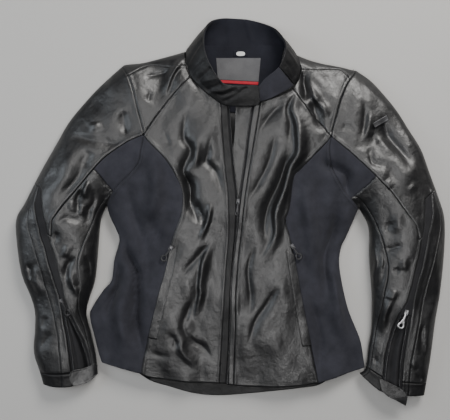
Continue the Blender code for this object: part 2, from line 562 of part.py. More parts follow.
class Half:
    """The body's pieces on one side, with the sleeve's armhole ring as their common edge."""

    def __init__(self, half, skin):
        self.half = half
        self.curves = HALVES[half]
        self.skin = skin
        self.sleeve = Sleeve(half)
        self.ring = self.sleeve.grid[0]
        rows = np.linspace(0, 1, BODY_ROWS + 1)
        self.princess = with_ends(along(smooth(self.curves["princess"]), rows),
                                  self.curves["princess"][0], self.ring[DIAGONAL, :2])
        self.edge = with_ends(along(smooth(self.curves["body_edge"]), rows),
                              self.curves["body_edge"][0], self.ring[INNER_RIM, :2])
        self.front_edge = along(smooth(self.curves["front_edge"]), rows)
        self.strip_edge = along(smooth(self.curves["strip_edge"]), rows)
        yoke_seam = along(smooth(self.curves["yoke_seam"]), np.linspace(0, 1, YOKE_CELLS + 1))
        self.yoke_seam = with_ends(yoke_seam, self.princess[-1], self.curves["yoke_seam"][-1])

    def side_panel(self):
        """From the princess seam over the rim to a seam underneath."""
        hem_width = np.linalg.norm(self.princess[0] - self.edge[0])
        shares = [0, 0.33, 0.66, 1 - NEAR_RIM[1] / hem_width, 1 - NEAR_RIM[0] / hem_width, 1]
        hem = np.array([blend(self.princess[0], self.edge[0], share) for share in shares])
        top = on_top(patch(hem, self.ring[DIAGONAL:INNER_RIM + 1, :2], self.princess, self.edge))
        hem_reach = (self.princess[0] - self.edge[0]) * UNDER_SEAM / hem_width
        top_reach = self.ring[UNDER_INNER + 1, :2] - self.edge[-1]
        reach = np.array([blend(hem_reach, top_reach, u) for u in np.linspace(0, 1, BODY_ROWS + 1)])
        length = np.linalg.norm(reach, axis=1, keepdims=True)
        below = [self.edge + reach * np.minimum(near / length, 1) for near in UNDER_RIM]
        below = np.stack(below + [self.edge + reach], axis=1)
        below[-1] = self.ring[INNER_RIM + 1:UNDER_INNER + 2, :2]
        self.under_seam = below[:, -1]
        grid = np.concatenate([top, on_ground(below)], axis=1)
        self.skin.add(f"side_panel_{self.half}", grid, up=True)

    def front(self):
        hem = smooth(self.curves["front_hem"])
        length = np.linalg.norm(np.diff(hem, axis=0), axis=1).sum()
        welt = WELT_WIDTH / length
        cells = YOKE_CELLS + NECK_CELLS
        shares = np.concatenate([[0], np.linspace(welt, 1, cells)])
        bottom = with_ends(along(hem, shares), self.princess[0], self.front_edge[0])
        neck = along(smooth(self.curves["neck_front"]), np.linspace(0, 1, NECK_CELLS + 1))
        top = with_ends(np.vstack([self.yoke_seam, neck[1:]]), self.princess[-1], self.front_edge[-1])
        self.front_grid = on_top(patch(bottom, top, self.princess, self.front_edge))
        self.skin.add(f"front_{self.half}", self.front_grid, up=True)

    def centre_strip(self, name):
        grid = on_top(np.stack([self.front_edge, self.strip_edge], axis=1))
        self.skin.add(name, grid, up=True)

    def front_yoke(self):
        armhole = self.ring[OUTER_SEAM:DIAGONAL + 1, :2][::-1]
        neck = along(smooth(self.curves["neck_side"]), np.linspace(0, 1, len(armhole)))
        neck = with_ends(neck, self.yoke_seam[-1], self.curves["neck_side"][-1])
        seam = smooth([tuple(armhole[-1])] + self.curves["shoulder_seam"])
        self.shoulder_seam = with_ends(along(seam, np.linspace(0, 1, YOKE_CELLS + 1)),
                                       armhole[-1], neck[-1])
        grid = on_top(patch(self.yoke_seam, self.shoulder_seam, armhole, neck))
        self.skin.add(f"front_yoke_{self.half}", grid, up=True)

    def back_shoulder(self, drop):
        """From the shoulder seam over the shoulder's rim to the back yoke seam underneath."""
        rim = with_ends(along(smooth(self.curves["shoulder"]), np.linspace(0, 1, YOKE_CELLS + 1)),
                        self.ring[0, :2], self.curves["shoulder"][-1])
        foot = np.array([blend(self.ring[UNDER_OUTER - 1, :2], np.array(drop, float), k)
                         for k in np.linspace(0, 1, YOKE_CELLS + 1)])
        above = blend(rim, self.shoulder_seam, ABOVE_RIM)
        down = foot - rim
        length = np.linalg.norm(down, axis=1, keepdims=True)
        below = [rim + down * near / length for near in UNDER_RIM] + [foot]
        below = np.stack(below)
        above[0] = self.ring[1, :2]
        below[:, 0] = self.ring[[RING - 1, RING - 2, RING - 3, RING - 4], :2]
        top = on_top(np.stack([self.shoulder_seam, above, rim]))
        grid = np.concatenate([top, on_ground(below)])
        self.skin.add("back_yoke", grid, up=True)
        self.neck_column = below[:, -1]
        self.foot = foot

    def build(self, drop):
        self.sleeve.add_to(self.skin)
        self.side_panel()
        self.front()
        self.front_yoke()
        self.back_shoulder(drop)


def back(skin, right, left):
    """The middle of the back yoke, and the back panel below it, flat on the ground."""
    neck = np.array([right.neck_column[0], *BACK_NECK, left.neck_column[0]], float)
    seam = np.array([blend(right.foot[-1], left.foot[-1], k) for k in np.linspace(0, 1, BACK_NECK_CELLS + 1)])
    middle = patch(seam, neck, right.neck_column[::-1], left.neck_column[::-1])
    skin.add("back_yoke", on_ground(middle), up=False)
    right_side = np.vstack([right.under_seam, right.foot[:1]])
    left_side = np.vstack([left.under_seam, left.foot[:1]])
    top = np.vstack([right.foot, seam[1:-1], left.foot[::-1]])
    hem = along(smooth([tuple(right_side[0])] + BACK_HEM[1:-1] + [tuple(left_side[0])]),
                np.linspace(0, 1, len(top)))
    hem = with_ends(hem, right_side[0], left_side[0])
    skin.add("back_panel", on_ground(patch(hem, top, right_side, left_side)), up=False)


# Pieces that lie on others or behind them

LAYER = 1.2            # a welt, flap, tab or facing
TAPE_THICKNESS = 0.9
TAPE_DEPTH = 2.0       # zip tape's face below the leather's face
TAPE_HIDDEN, TAPE_SHOWN = 5.0, 4.0
FLAP_DEPTH = 4.0       # storm flap's face below the leather's face
TAB_BEND, TAB_FALL_LENGTH, TAB_FALL = -324.0, 20.0, 5.0    # the left tab droops past the cuff
TAPE_INSET, CUFF_TAPE_DEPTH = 0.8, 0.8      # cuff tapes: clear of the gusset's edge, below the face
BADGE_LIFT, BADGE_THICKNESS = 1.4, 0.8
LINING_THICKNESS = 1.0


def own_wall(name, grid, material, lift=0.0, thickness=LAYER, up=True, test=(0, 0), cells=None):
    """A wall on a grid of its own."""
    skin = Skin()
    skin.add(name, grid, up=up, test=test, cells=cells)
    return wall(name, np.array(skin.points), skin.normals(), skin.pieces[name], material, lift, thickness)


def flat_piece(name, bottom, top, base, thickness, material, columns=6, rows=2):
    """A flat layer over the back, from a base height, between two edges given as x, y."""
    edges = [along(smooth(edge), np.linspace(0, 1, columns + 1)) for edge in (bottom, top)]
    grid = np.stack([blend(edges[0], edges[1], k) for k in np.linspace(0, 1, rows + 1)])
    grid = np.dstack([grid, np.full(grid.shape[:2], base + thickness)])
    return own_wall(name, grid, material, 0.0, thickness)


def front_tape(half, other, material):
    """Zip tape along a centre strip: partly under the strip, partly beside it."""
    across = half.front_edge - half.strip_edge
    across /= np.linalg.norm(across, axis=1, keepdims=True)
    gap = np.linalg.norm(half.strip_edge - other.strip_edge, axis=1, keepdims=True)
    shown = np.minimum(TAPE_SHOWN, gap / 2 - SEAM_GAP)
    plan = np.stack([half.strip_edge + across * TAPE_HIDDEN, half.strip_edge - across * shown], axis=1)
    grid = on_top(plan) - np.array([0, 0, TAPE_DEPTH])
    own_wall(f"front_zip_tape_{half.half}", grid, material, 0.0, TAPE_THICKNESS)


def cuff_tapes(sleeve, material):
    """Zip tapes inside both edges of the cuff's opening, over the gusset."""
    rows = range(sleeve.row(ZIP_START), len(sleeve.rows))
    for side, column, turn in (("outer", BAND_OUTER, 1), ("inner", BAND_INNER, -1)):
        grid = []
        for i in rows:
            shares = sleeve.ring_shares[i]
            width = np.linalg.norm(sleeve.grid[i, 0, :2] - sleeve.grid[i, INNER_RIM, :2])
            gap = (shares[BAND_INNER] - shares[BAND_OUTER]) * width
            steps = np.array([TAPE_INSET, min(TAPE_SHOWN + 1, gap / 2 - SEAM_GAP)])
            u = sleeve.rows[i]
            points = sleeve.plan(u, shares[column] + turn * steps / width)
            height = top_height(points, *sleeve.crown(u, points))
            grid.append(np.column_stack([points, height - CUFF_TAPE_DEPTH]))
        own_wall(f"cuff_tape_{side}_{sleeve.half}", np.array(grid), material, 0.0, TAPE_THICKNESS)


def storm_flap(material):
    edges = [along(smooth(edge), np.linspace(0, 1, 13)) for edge in (FLAP_FREE, FLAP_SEWN)]
    plan = np.stack([blend(edges[0], edges[1], k) for k in (0, 0.5, 1)], axis=1)
    own_wall("storm_flap", on_top(plan) - np.array([0, 0, FLAP_DEPTH]), material)


def sleeve_badge(sleeve, material, centre=(265, 162), size=(30, 9), turn=30, u=0.2):
    """A plain bar on the upper sleeve."""
    cos, sin = np.cos(np.radians(turn)), np.sin(np.radians(turn))
    grid = np.array([[(x * cos - y * sin, x * sin + y * cos) for x in np.linspace(-size[0] / 2, size[0] / 2, 4)]
                     for y in (-size[1] / 2, size[1] / 2)]) + np.array(centre)
    height = top_height(grid, *sleeve.crown(u, grid))
    grid = np.dstack([grid, height + SEAM_GAP + BADGE_LIFT])
    own_wall(f"sleeve_badge_{sleeve.half}", grid, material, 0.0, BADGE_THICKNESS)


def left_cuff_tab(sleeve, material):
    """The left cuff's tab stands out past the cuff: upper edge, then lower edge, as x, y."""
    upper = [(263, -294), (280, -301), (298, -310), (308, -317), (314, -327)]
    lower = [(268, -317), (280, -327), (294, -334), (304, -340), (312, -344)]
    edges = [along(smooth(edge), np.linspace(0, 1, 7)) for edge in (lower, upper)]
    grid = np.stack([blend(edges[0], edges[1], k) for k in (0, 0.5, 1)])
    height = sleeve.grid[-2:, :INNER_RIM + 1, 2].max() + SEAM_GAP + LAYER
    beyond = np.clip((TAB_BEND - grid[..., 1]) / TAB_FALL_LENGTH, 0, 1)
    own_wall("cuff_tab_left", np.dstack([grid, height - TAB_FALL * beyond ** 2]), material)


def collar(leather, softshell, lining):
    """The stand, its softshell end under the tab, and its lining."""
    for name, table, columns, material in (("collar", COLLAR, COLLAR_COLUMNS, leather),
                                           ("collar_end_left", COLLAR_END, COLLAR_END_COLUMNS, softshell)):
        sections = along(smooth(table, 6), np.linspace(0, 1, columns + 1))
        grid = np.stack([blend(sections[:, :3], sections[:, 3:], k)
                         for k in np.linspace(0, 1, COLLAR_ROWS + 1)])
        grid[..., 2] = np.maximum(grid[..., 2], 0)
        own_wall(name, grid, material, 0.0, WALL)
        if name == "collar":
            cells = [(i, j) for i in range(COLLAR_ROWS) for j in range(LINING_FROM, columns)]
            own_wall("collar_lining", grid, lining, -WALL - SEAM_GAP, LINING_THICKNESS, cells=cells)


# Hard pieces

PULL_RING = 13.0       # outer diameter of a pull's ring
PULL_HOLE = 6.5
PULL_WIDTH = 3.0       # bar of the pull
PULL_THICKNESS = 1.4
SLIDER_EAR = 1.1       # the two walls that hold the pull between them
SLIDER_PLAY = 0.4      # on each side of the bar
SLIDER_BASE = 1.2
HINGE_HEIGHT = 2.7     # hinge above the slider's underside
SLIDER_LENGTH = 9.0
SLIDER_BACK, SLIDER_FRONT = 0.75, 0.25      # shares of the slider behind and ahead of the hinge
METAL_CLEARANCE = 0.8  # between a metal part and the cloth below it
STEEPEST = 0.28        # slope at which a pull's bar would touch its slider's base


def frame_at(x_axis, up):
    """Unit axes: along, across, up; as the columns of a matrix."""
    x = np.array(x_axis, float)
    x /= np.linalg.norm(x)
    y = np.cross(up, x)
    y /= np.linalg.norm(y)
    return np.column_stack([x, y, np.cross(x, y)])


def slider(name, centre, heading, material):
    """A channel with a base and two ears, mostly behind the hinge; centre is under the hinge."""
    half = PULL_WIDTH / 2 + SLIDER_PLAY
    wide = half + SLIDER_EAR
    top = HINGE_HEIGHT + 1.0
    section = [(-wide, 0), (wide, 0), (wide, top), (half, top), (half, SLIDER_BASE), (-half, SLIDER_BASE),
               (-half, top), (-wide, top)]
    ends = (-SLIDER_BACK * SLIDER_LENGTH, SLIDER_FRONT * SLIDER_LENGTH)
    points = [(x, y, z) for x in ends for y, z in section]
    count = len(section)
    faces = [(k, (k + 1) % count, count + (k + 1) % count, count + k) for k in range(count)]
    near = [(0, 7, 6, 5), (0, 5, 4, 1), (1, 4, 3, 2)]
    far = [tuple(count + k for k in reversed(face)) for face in near]
    matrix = frame_at(heading, (0, 0, 1))
    world = np.array(points) @ matrix.T + np.array(centre)
    return add_object(name, world, faces + near + far, material, origin=centre)


def pull(name, hinge, ring_centre, material, ring=PULL_RING, hole=PULL_HOLE):
    """A flat bar from its hinge to a ring; its origin is on the hinge."""
    reach = np.array(ring_centre, float) - np.array(hinge, float)
    length = np.linalg.norm(reach)
    neck = np.arcsin(PULL_WIDTH / ring)
    angles = np.linspace(np.pi - neck, neck - np.pi, 15)
    outer = [(length + ring / 2 * np.cos(a), ring / 2 * np.sin(a)) for a in angles]
    outer = [(-0.9, PULL_WIDTH / 2)] + outer + [(-0.9, -PULL_WIDTH / 2)]
    hole_angles = np.linspace(np.pi - 0.12, 0.12 - np.pi, len(outer))
    inner = [(length + hole / 2 * np.cos(a), hole / 2 * np.sin(a)) for a in hole_angles]
    count = len(outer)
    half = PULL_THICKNESS / 2
    points = [(x, y, z) for loop in (outer, inner) for z in (-half, half) for x, y in loop]
    faces = []
    for k in range(count):
        n = (k + 1) % count
        a, b, c, d = k, count + k, 2 * count + k, 3 * count + k
        e, f, g, h = n, count + n, 2 * count + n, 3 * count + n
        faces += [(a, e, f, b), (b, f, h, d), (d, h, g, c), (c, g, e, a)]
    matrix = frame_at(reach, (0, 0, 1))
    world = np.array(points) @ matrix.T + np.array(hinge)
    return add_object(name, world, [f[::-1] for f in faces], material, origin=hinge)


def resting_end(hinge, target, height, ring):
    """A pull's ring centre at x, y target, low enough to lie just clear of the surface below."""
    hinge = np.array(hinge, float)
    flat = np.array(target, float) - hinge[:2]
    length = np.linalg.norm(flat)
    side = np.array([-flat[1], flat[0]]) / length
    slopes = []
    for step in np.linspace(0.45, 1 + ring / 2 / length, 7):
        for offset in (-ring / 2, 0, ring / 2):
            below = height(hinge[:2] + flat * step + side * offset)
            slopes.append((below + METAL_CLEARANCE + PULL_THICKNESS / 2 - hinge[2]) / step)
    return (*target, hinge[2] + max(-STEEPEST * length, *slopes))


def body_height(point):
    point = np.array(point, float)
    return float(top_height(point, body_crown(point), BODY_DOME))


def welt_height(point):
    return body_height(point) + SEAM_GAP + LAYER


def zip_pull(names, places, metal, height, ring=PULL_RING, hole=PULL_HOLE):
    """A slider and its pull, from the x, y of the slider and of the ring's centre."""
    place, end = (np.array(point, float) for point in places)
    unit = (end - place) / np.linalg.norm(end - place)
    side = np.array([-unit[1], unit[0]])
    samples = [place + unit * ahead * SLIDER_LENGTH + side * across
               for ahead in (-SLIDER_BACK, 0, SLIDER_FRONT) for across in (-PULL_WIDTH, 0, PULL_WIDTH)]
    base = max(height(point) for point in samples) + METAL_CLEARANCE
    slider(names[0], (*place, base), (*unit, 0), metal)
    hinge = (*place, base + HINGE_HEIGHT)
    pull(names[1], hinge, resting_end(hinge, end, height, ring), metal, ring, hole)


def main():
    for obj in list(bpy.data.objects):
        bpy.data.objects.remove(obj)
    leather = make_material("leather", LEATHER)
    softshell = make_material("softshell", SOFTSHELL)
    lining = make_material("lining", LINING)
    tape = make_material("zip_tape", TAPE)
    metal = make_material("metal", METAL)

    skin = Skin()
    right = Half("right", skin)
    left = Half("left", skin)
    right.build(BACK_YOKE_DROP[0])
    left.build(BACK_YOKE_DROP[1])
    right.centre_strip("zip_strip_right")
    left.centre_strip("placket_left")
    back(skin, right, left)
    points = np.array(skin.points)
    normals = skin.normals()
    for name, quads in skin.pieces.items():
        soft = name.startswith(("side_panel", "underarm_gusset", "cuff_gusset", "sleeve_band"))
        sunk = name.startswith("cuff_gusset")
        wall(name, points, normals, quads, softshell if soft else leather, -GUSSET_DEPTH if sunk else 0.0)

    over = SEAM_GAP + LAYER
    for half in (right, left):
        welt = skin.quads(f"front_{half.half}", [(i, 0) for i in WELT_ROWS])
        wall(f"pocket_welt_{half.half}", points, normals, welt, leather, over, LAYER)
        cuff_tapes(half.sleeve, tape)
        zip_pull((f"pocket_slider_{half.half}", f"pocket_pull_{half.half}"), POCKET_PULLS[half.half],
                 metal, welt_height)
        zip_pull((f"cuff_slider_{half.half}", f"cuff_pull_{half.half}"), CUFF_PULLS[half.half],
                 metal, half.sleeve.height)
    cuff_row = SLEEVE_ROWS - 1
    tab = skin.quads("cuff_band_right", [(cuff_row, k) for k in range(BAND_OUTER, INNER_RIM - 1)])
    wall("cuff_tab_right", points, normals, tab, leather, over, LAYER)
    left_cuff_tab(left.sleeve, leather)
    sleeve_badge(left.sleeve, make_material("badge", BADGE))

    front_tape(right, left, tape)
    front_tape(left, right, tape)
    zip_pull(("front_slider", "front_pull"), FRONT_PULL, metal, body_height, ring=7.0, hole=3.0)
    storm_flap(leather)
    collar(leather, softshell, lining)

    floor = WALL + SEAM_GAP
    flat_piece("neck_facing", [(-24, 186), (20, 182), (70, 188)], [(-62, 293), (22, 297), (98, 293)],
               floor, LINING_THICKNESS, lining, rows=4)
    label = floor + LINING_THICKNESS + SEAM_GAP
    flat_piece("neck_label", [(-17, 242), (41, 237)], [(-25, 281), (52, 281)], label, 0.8,
               make_material("label", LABEL), columns=4)
    flat_piece("label_edge", [(-15, 236), (40, 231)], [(-16, 241), (41, 236)], label, 0.8,
               make_material("label_edge", RED), columns=4, rows=1)
    flat_piece("size_tag", [(4, 284), (30, 284)], [(4, 295), (30, 295)], label, 0.6, tape, columns=2, rows=1)
    flat_piece("hem_facing", [(x, y + 1) for x, y in HEM_INSIDE], [(x, y + 27) for x, y in HEM_INSIDE],
               floor, LINING_THICKNESS, leather, columns=12)


main()
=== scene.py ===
# A leather motorcycle jacket laid flat with its front up: cloth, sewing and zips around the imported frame.
# Lengths are millimetres in the garment's own frame until a mesh is made: X to the wearer's left,
# Y from hem to collar, Z up.
import json
import bmesh
import bpy
import numpy as np
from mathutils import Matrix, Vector

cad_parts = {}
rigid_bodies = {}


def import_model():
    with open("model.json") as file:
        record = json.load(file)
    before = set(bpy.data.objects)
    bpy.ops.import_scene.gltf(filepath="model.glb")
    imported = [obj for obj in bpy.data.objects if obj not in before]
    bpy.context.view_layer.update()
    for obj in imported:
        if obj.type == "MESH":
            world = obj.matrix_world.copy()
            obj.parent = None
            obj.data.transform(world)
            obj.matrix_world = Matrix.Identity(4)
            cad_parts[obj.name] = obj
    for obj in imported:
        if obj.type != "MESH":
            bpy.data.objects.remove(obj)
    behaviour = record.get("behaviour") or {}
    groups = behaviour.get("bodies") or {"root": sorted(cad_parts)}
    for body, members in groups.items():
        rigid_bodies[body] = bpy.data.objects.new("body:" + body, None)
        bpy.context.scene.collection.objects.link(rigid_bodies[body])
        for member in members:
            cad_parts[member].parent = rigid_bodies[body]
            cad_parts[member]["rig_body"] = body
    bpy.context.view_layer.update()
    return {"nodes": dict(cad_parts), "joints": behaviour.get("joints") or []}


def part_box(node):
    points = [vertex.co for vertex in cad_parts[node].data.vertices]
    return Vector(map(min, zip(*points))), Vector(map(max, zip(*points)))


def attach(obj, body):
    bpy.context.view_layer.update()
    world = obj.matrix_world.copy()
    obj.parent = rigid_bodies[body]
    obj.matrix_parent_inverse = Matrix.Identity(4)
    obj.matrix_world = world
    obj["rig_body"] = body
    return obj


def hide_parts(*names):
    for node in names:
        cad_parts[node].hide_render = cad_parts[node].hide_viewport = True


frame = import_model()
nodes = frame["nodes"]
mm = 0.001
originShift = np.array([1.3, -4.3, 0.0])  # garment frame to the frame's origin

shape = {
    "wall": 1.5,            # leather or softshell with its backing
    "seamGap": 0.3,         # between pieces along a seam, and between stacked pieces
    "rimHeight": 13.0,      # folded edge above the ground
    "rimCurl": 20.0,        # how far in the lower layer curls up to the rim
    "bodyDome": 150.0,      # distance from the rim at which the body is at full height
    "sleeveDome": 62.0,
    "foldFade": 16.0,       # creases die out over this distance from the rim
    "neckFade": 12.0,       # and from the collar's seam
    "underSeam": 55.0,      # side panel's reach on the underside at the hem
    "weltWidth": 17.0,
    "armholePull": 0.45,    # share of the sleeve whose sections turn from the armhole's line to straight
    "cuffPull": 0.16,
    "innerSlowness": 1.6,   # the sleeve's inner edge is shorter, so its stations start slowly
    "neckLeast": 0.2,       # share of the creases that stays beside the collar
    "seamFade": 4.0,        # seams flatten out this close to the rim
    "topStep": 2.7,         # mesh spacing on top
    "underStep": 7.0,       # and underneath
}
bodyCrown = [(-320, 25), (-250, 30), (-150, 37), (-50, 41), (60, 44), (160, 46), (260, 46)]  # y, height
sleeveCrown = [(0.0, 46), (0.25, 50), (0.45, 48), (0.7, 41), (0.9, 35), (1.0, 31)]  # share, height

# Outlines and seams of each half, as x, y. "right" is the wearer's right, at -x.
halves = {
    "right": {
        "bodyEdge": [(-233, -269), (-239, -250), (-246, -222), (-253, -193), (-252, -174), (-230, -139),
                     (-215, -121), (-210, -84), (-201, -50), (-206, -32), (-218, -6), (-224, 14)],
        "sleeveInner": [(-224, 14), (-234, -11), (-238, -51), (-244, -117), (-254, -150), (-260, -173),
                        (-259, -193), (-251, -224), (-244, -257), (-240, -290)],
        "sleeveOuter": [(-197, 263), (-227, 236), (-251, 212), (-289, 167), (-313, 126), (-344, 71),
                        (-371, 18), (-386, -9), (-386, -50), (-377, -110), (-360, -152), (-353, -180),
                        (-353, -211), (-355, -251), (-344, -287), (-338, -308)],
        "shoulder": [(-197, 263), (-189, 267), (-160, 270), (-135, 276), (-105, 284), (-84, 290)],
        "armhole": [(-197, 263), (-184, 245), (-174, 218), (-165, 183), (-158, 156), (-155, 138),
                    (-160, 112), (-165, 89), (-181, 69), (-207, 43), (-224, 14)],
        "princess": [(-160, -287), (-155, -255), (-144, -207), (-128, -142), (-118, -108), (-107, -58),
                     (-98, -28), (-89, -5), (-85, 25), (-88, 45), (-98, 67), (-118, 98), (-144, 124),
                     (-155, 138)],
        "yokeSeam": [(-155, 138), (-143, 158), (-108, 206), (-73, 243)],
        "neckSide": [(-73, 243), (-79, 254), (-82, 264)],
        "shoulderSeam": [(-149, 264), (-112, 261), (-82, 264)],
        "neckFront": [(-73, 243), (-55, 224), (-35, 206), (-18, 198)],
        "frontEdge": [(-21, -305), (-18, -253), (-14, -186), (-9, -101), (-4, -37), (-5, 27), (-11, 88),
                      (-15, 146), (-18, 198)],
        "frontHem": [(-160, -287), (-146, -294), (-111, -299), (-68, -303), (-21, -305)],
        "stripEdge": [(-10, -306), (-6, -253), (-4, -186), (-1, -118), (6, -37), (8, 4), (7, 35), (1, 88),
                      (-4, 145), (-7, 196)],
        "cuff": [(-338, -308), (-312, -311), (-287, -310), (-259, -304), (-240, -290)],
        "diagonal": [(-155, 138), (-176, 130), (-206, 111), (-224, 97), (-251, 67), (-271, 43), (-292, 18),
                     (-311, -7), (-323, -25), (-346, -55)],
        "innerSeam": [(-213, 41), (-232, 14), (-249, -23), (-263, -57), (-273, -91), (-269, -128),
                      (-262, -172), (-252, -208), (-247, -250)],
        "bandOuter": [(-356, 60), (-349, 15), (-342, -16), (-330, -58), (-319, -102), (-304, -148),
                      (-298, -191), (-291, -228), (-286, -267), (-282, -320)],
        "bandInner": [(-344, 75), (-336, 22), (-325, -30), (-318, -56), (-302, -120), (-297, -150),
                      (-285, -180), (-272, -207), (-256, -241), (-245, -275), (-240, -320)],
        "outerSeam": [(-372, 30), (-360, -16), (-350, -60), (-331, -128), (-317, -177), (-309, -217),
                      (-304, -257), (-302, -320)],
    },
    "left": {
        "bodyEdge": [(241, -278), (235, -238), (229, -218), (211, -173), (199, -121), (195, -86),
                     (199, -60), (207, -44), (221, -12), (230, 9)],
        "sleeveInner": [(230, 9), (242, -11), (249, -34), (249, -78), (252, -121), (254, -157),
                        (253, -207), (248, -240), (243, -278), (232, -289)],
        "sleeveOuter": [(226, 256), (249, 240), (268, 221), (297, 186), (321, 148), (342, 114), (357, 73),
                        (374, 26), (384, -10), (384, -65), (377, -139), (368, -193), (359, -262),
                        (348, -328)],
        "shoulder": [(226, 256), (216, 258), (196, 263), (164, 269), (139, 276), (119, 284)],
        "armhole": [(226, 256), (207, 232), (195, 204), (186, 174), (179, 147), (177, 135), (174, 112),
                    (178, 86), (190, 58), (209, 31), (230, 9)],
        "princess": [(156, -304), (143, -236), (124, -143), (118, -108), (109, -62), (101, -32), (97, -12),
                     (104, 11), (111, 62), (122, 76), (143, 98), (166, 121), (177, 135)],
        "yokeSeam": [(177, 135), (161, 157), (145, 175), (127, 198), (110, 220)],
        "neckSide": [(110, 220), (121, 238), (126, 256)],
        "shoulderSeam": [(198, 256), (178, 258), (131, 256), (126, 256)],
        "neckFront": [(110, 220), (93, 212), (70, 203), (52, 196)],
        "frontEdge": [(5, -309), (6, -253), (8, -186), (10, -118), (18, -37), (25, 27), (34, 88),
                      (44, 145), (52, 196)],
        "frontHem": [(156, -304), (124, -309), (70, -312), (30, -311), (5, -309)],
        "stripEdge": [(-4, -308), (-3, -254), (0, -186), (2, -118), (11, -37), (18, 27), (27, 88),
                      (34, 145), (42, 196)],
        "cuff": [(348, -328), (315, -327), (275, -321), (255, -310), (232, -289)],
        "diagonal": [(177, 135), (216, 102), (253, 66), (287, 29), (304, 5), (336, -35)],
        "innerSeam": [(217, 30), (229, 26), (248, 0), (262, -30), (272, -59), (279, -105), (267, -164),
                      (256, -207), (250, -250)],
        "bandOuter": [(352, 70), (357, -2), (346, -44), (339, -90), (325, -140), (322, -168), (315, -207),
                      (308, -258), (303, -340)],
        "bandInner": [(340, 80), (344, 5), (339, -23), (334, -64), (323, -111), (313, -154), (304, -170),
                      (293, -190), (282, -222), (274, -258), (266, -330)],
        "outerSeam": [(366, 30), (374, -20), (364, -65), (354, -105), (341, -155), (328, -230),
                      (320, -266), (317, -340)],
    },
}
backHem = [(-147, -304), (-112, -315), (-69, -327), (-25, -331), (27, -328), (71, -324), (125, -318),
           (160, -312)]
backNeck = [(-62, 300), (-22, 301), (22, 301), (66, 301), (100, 300)]

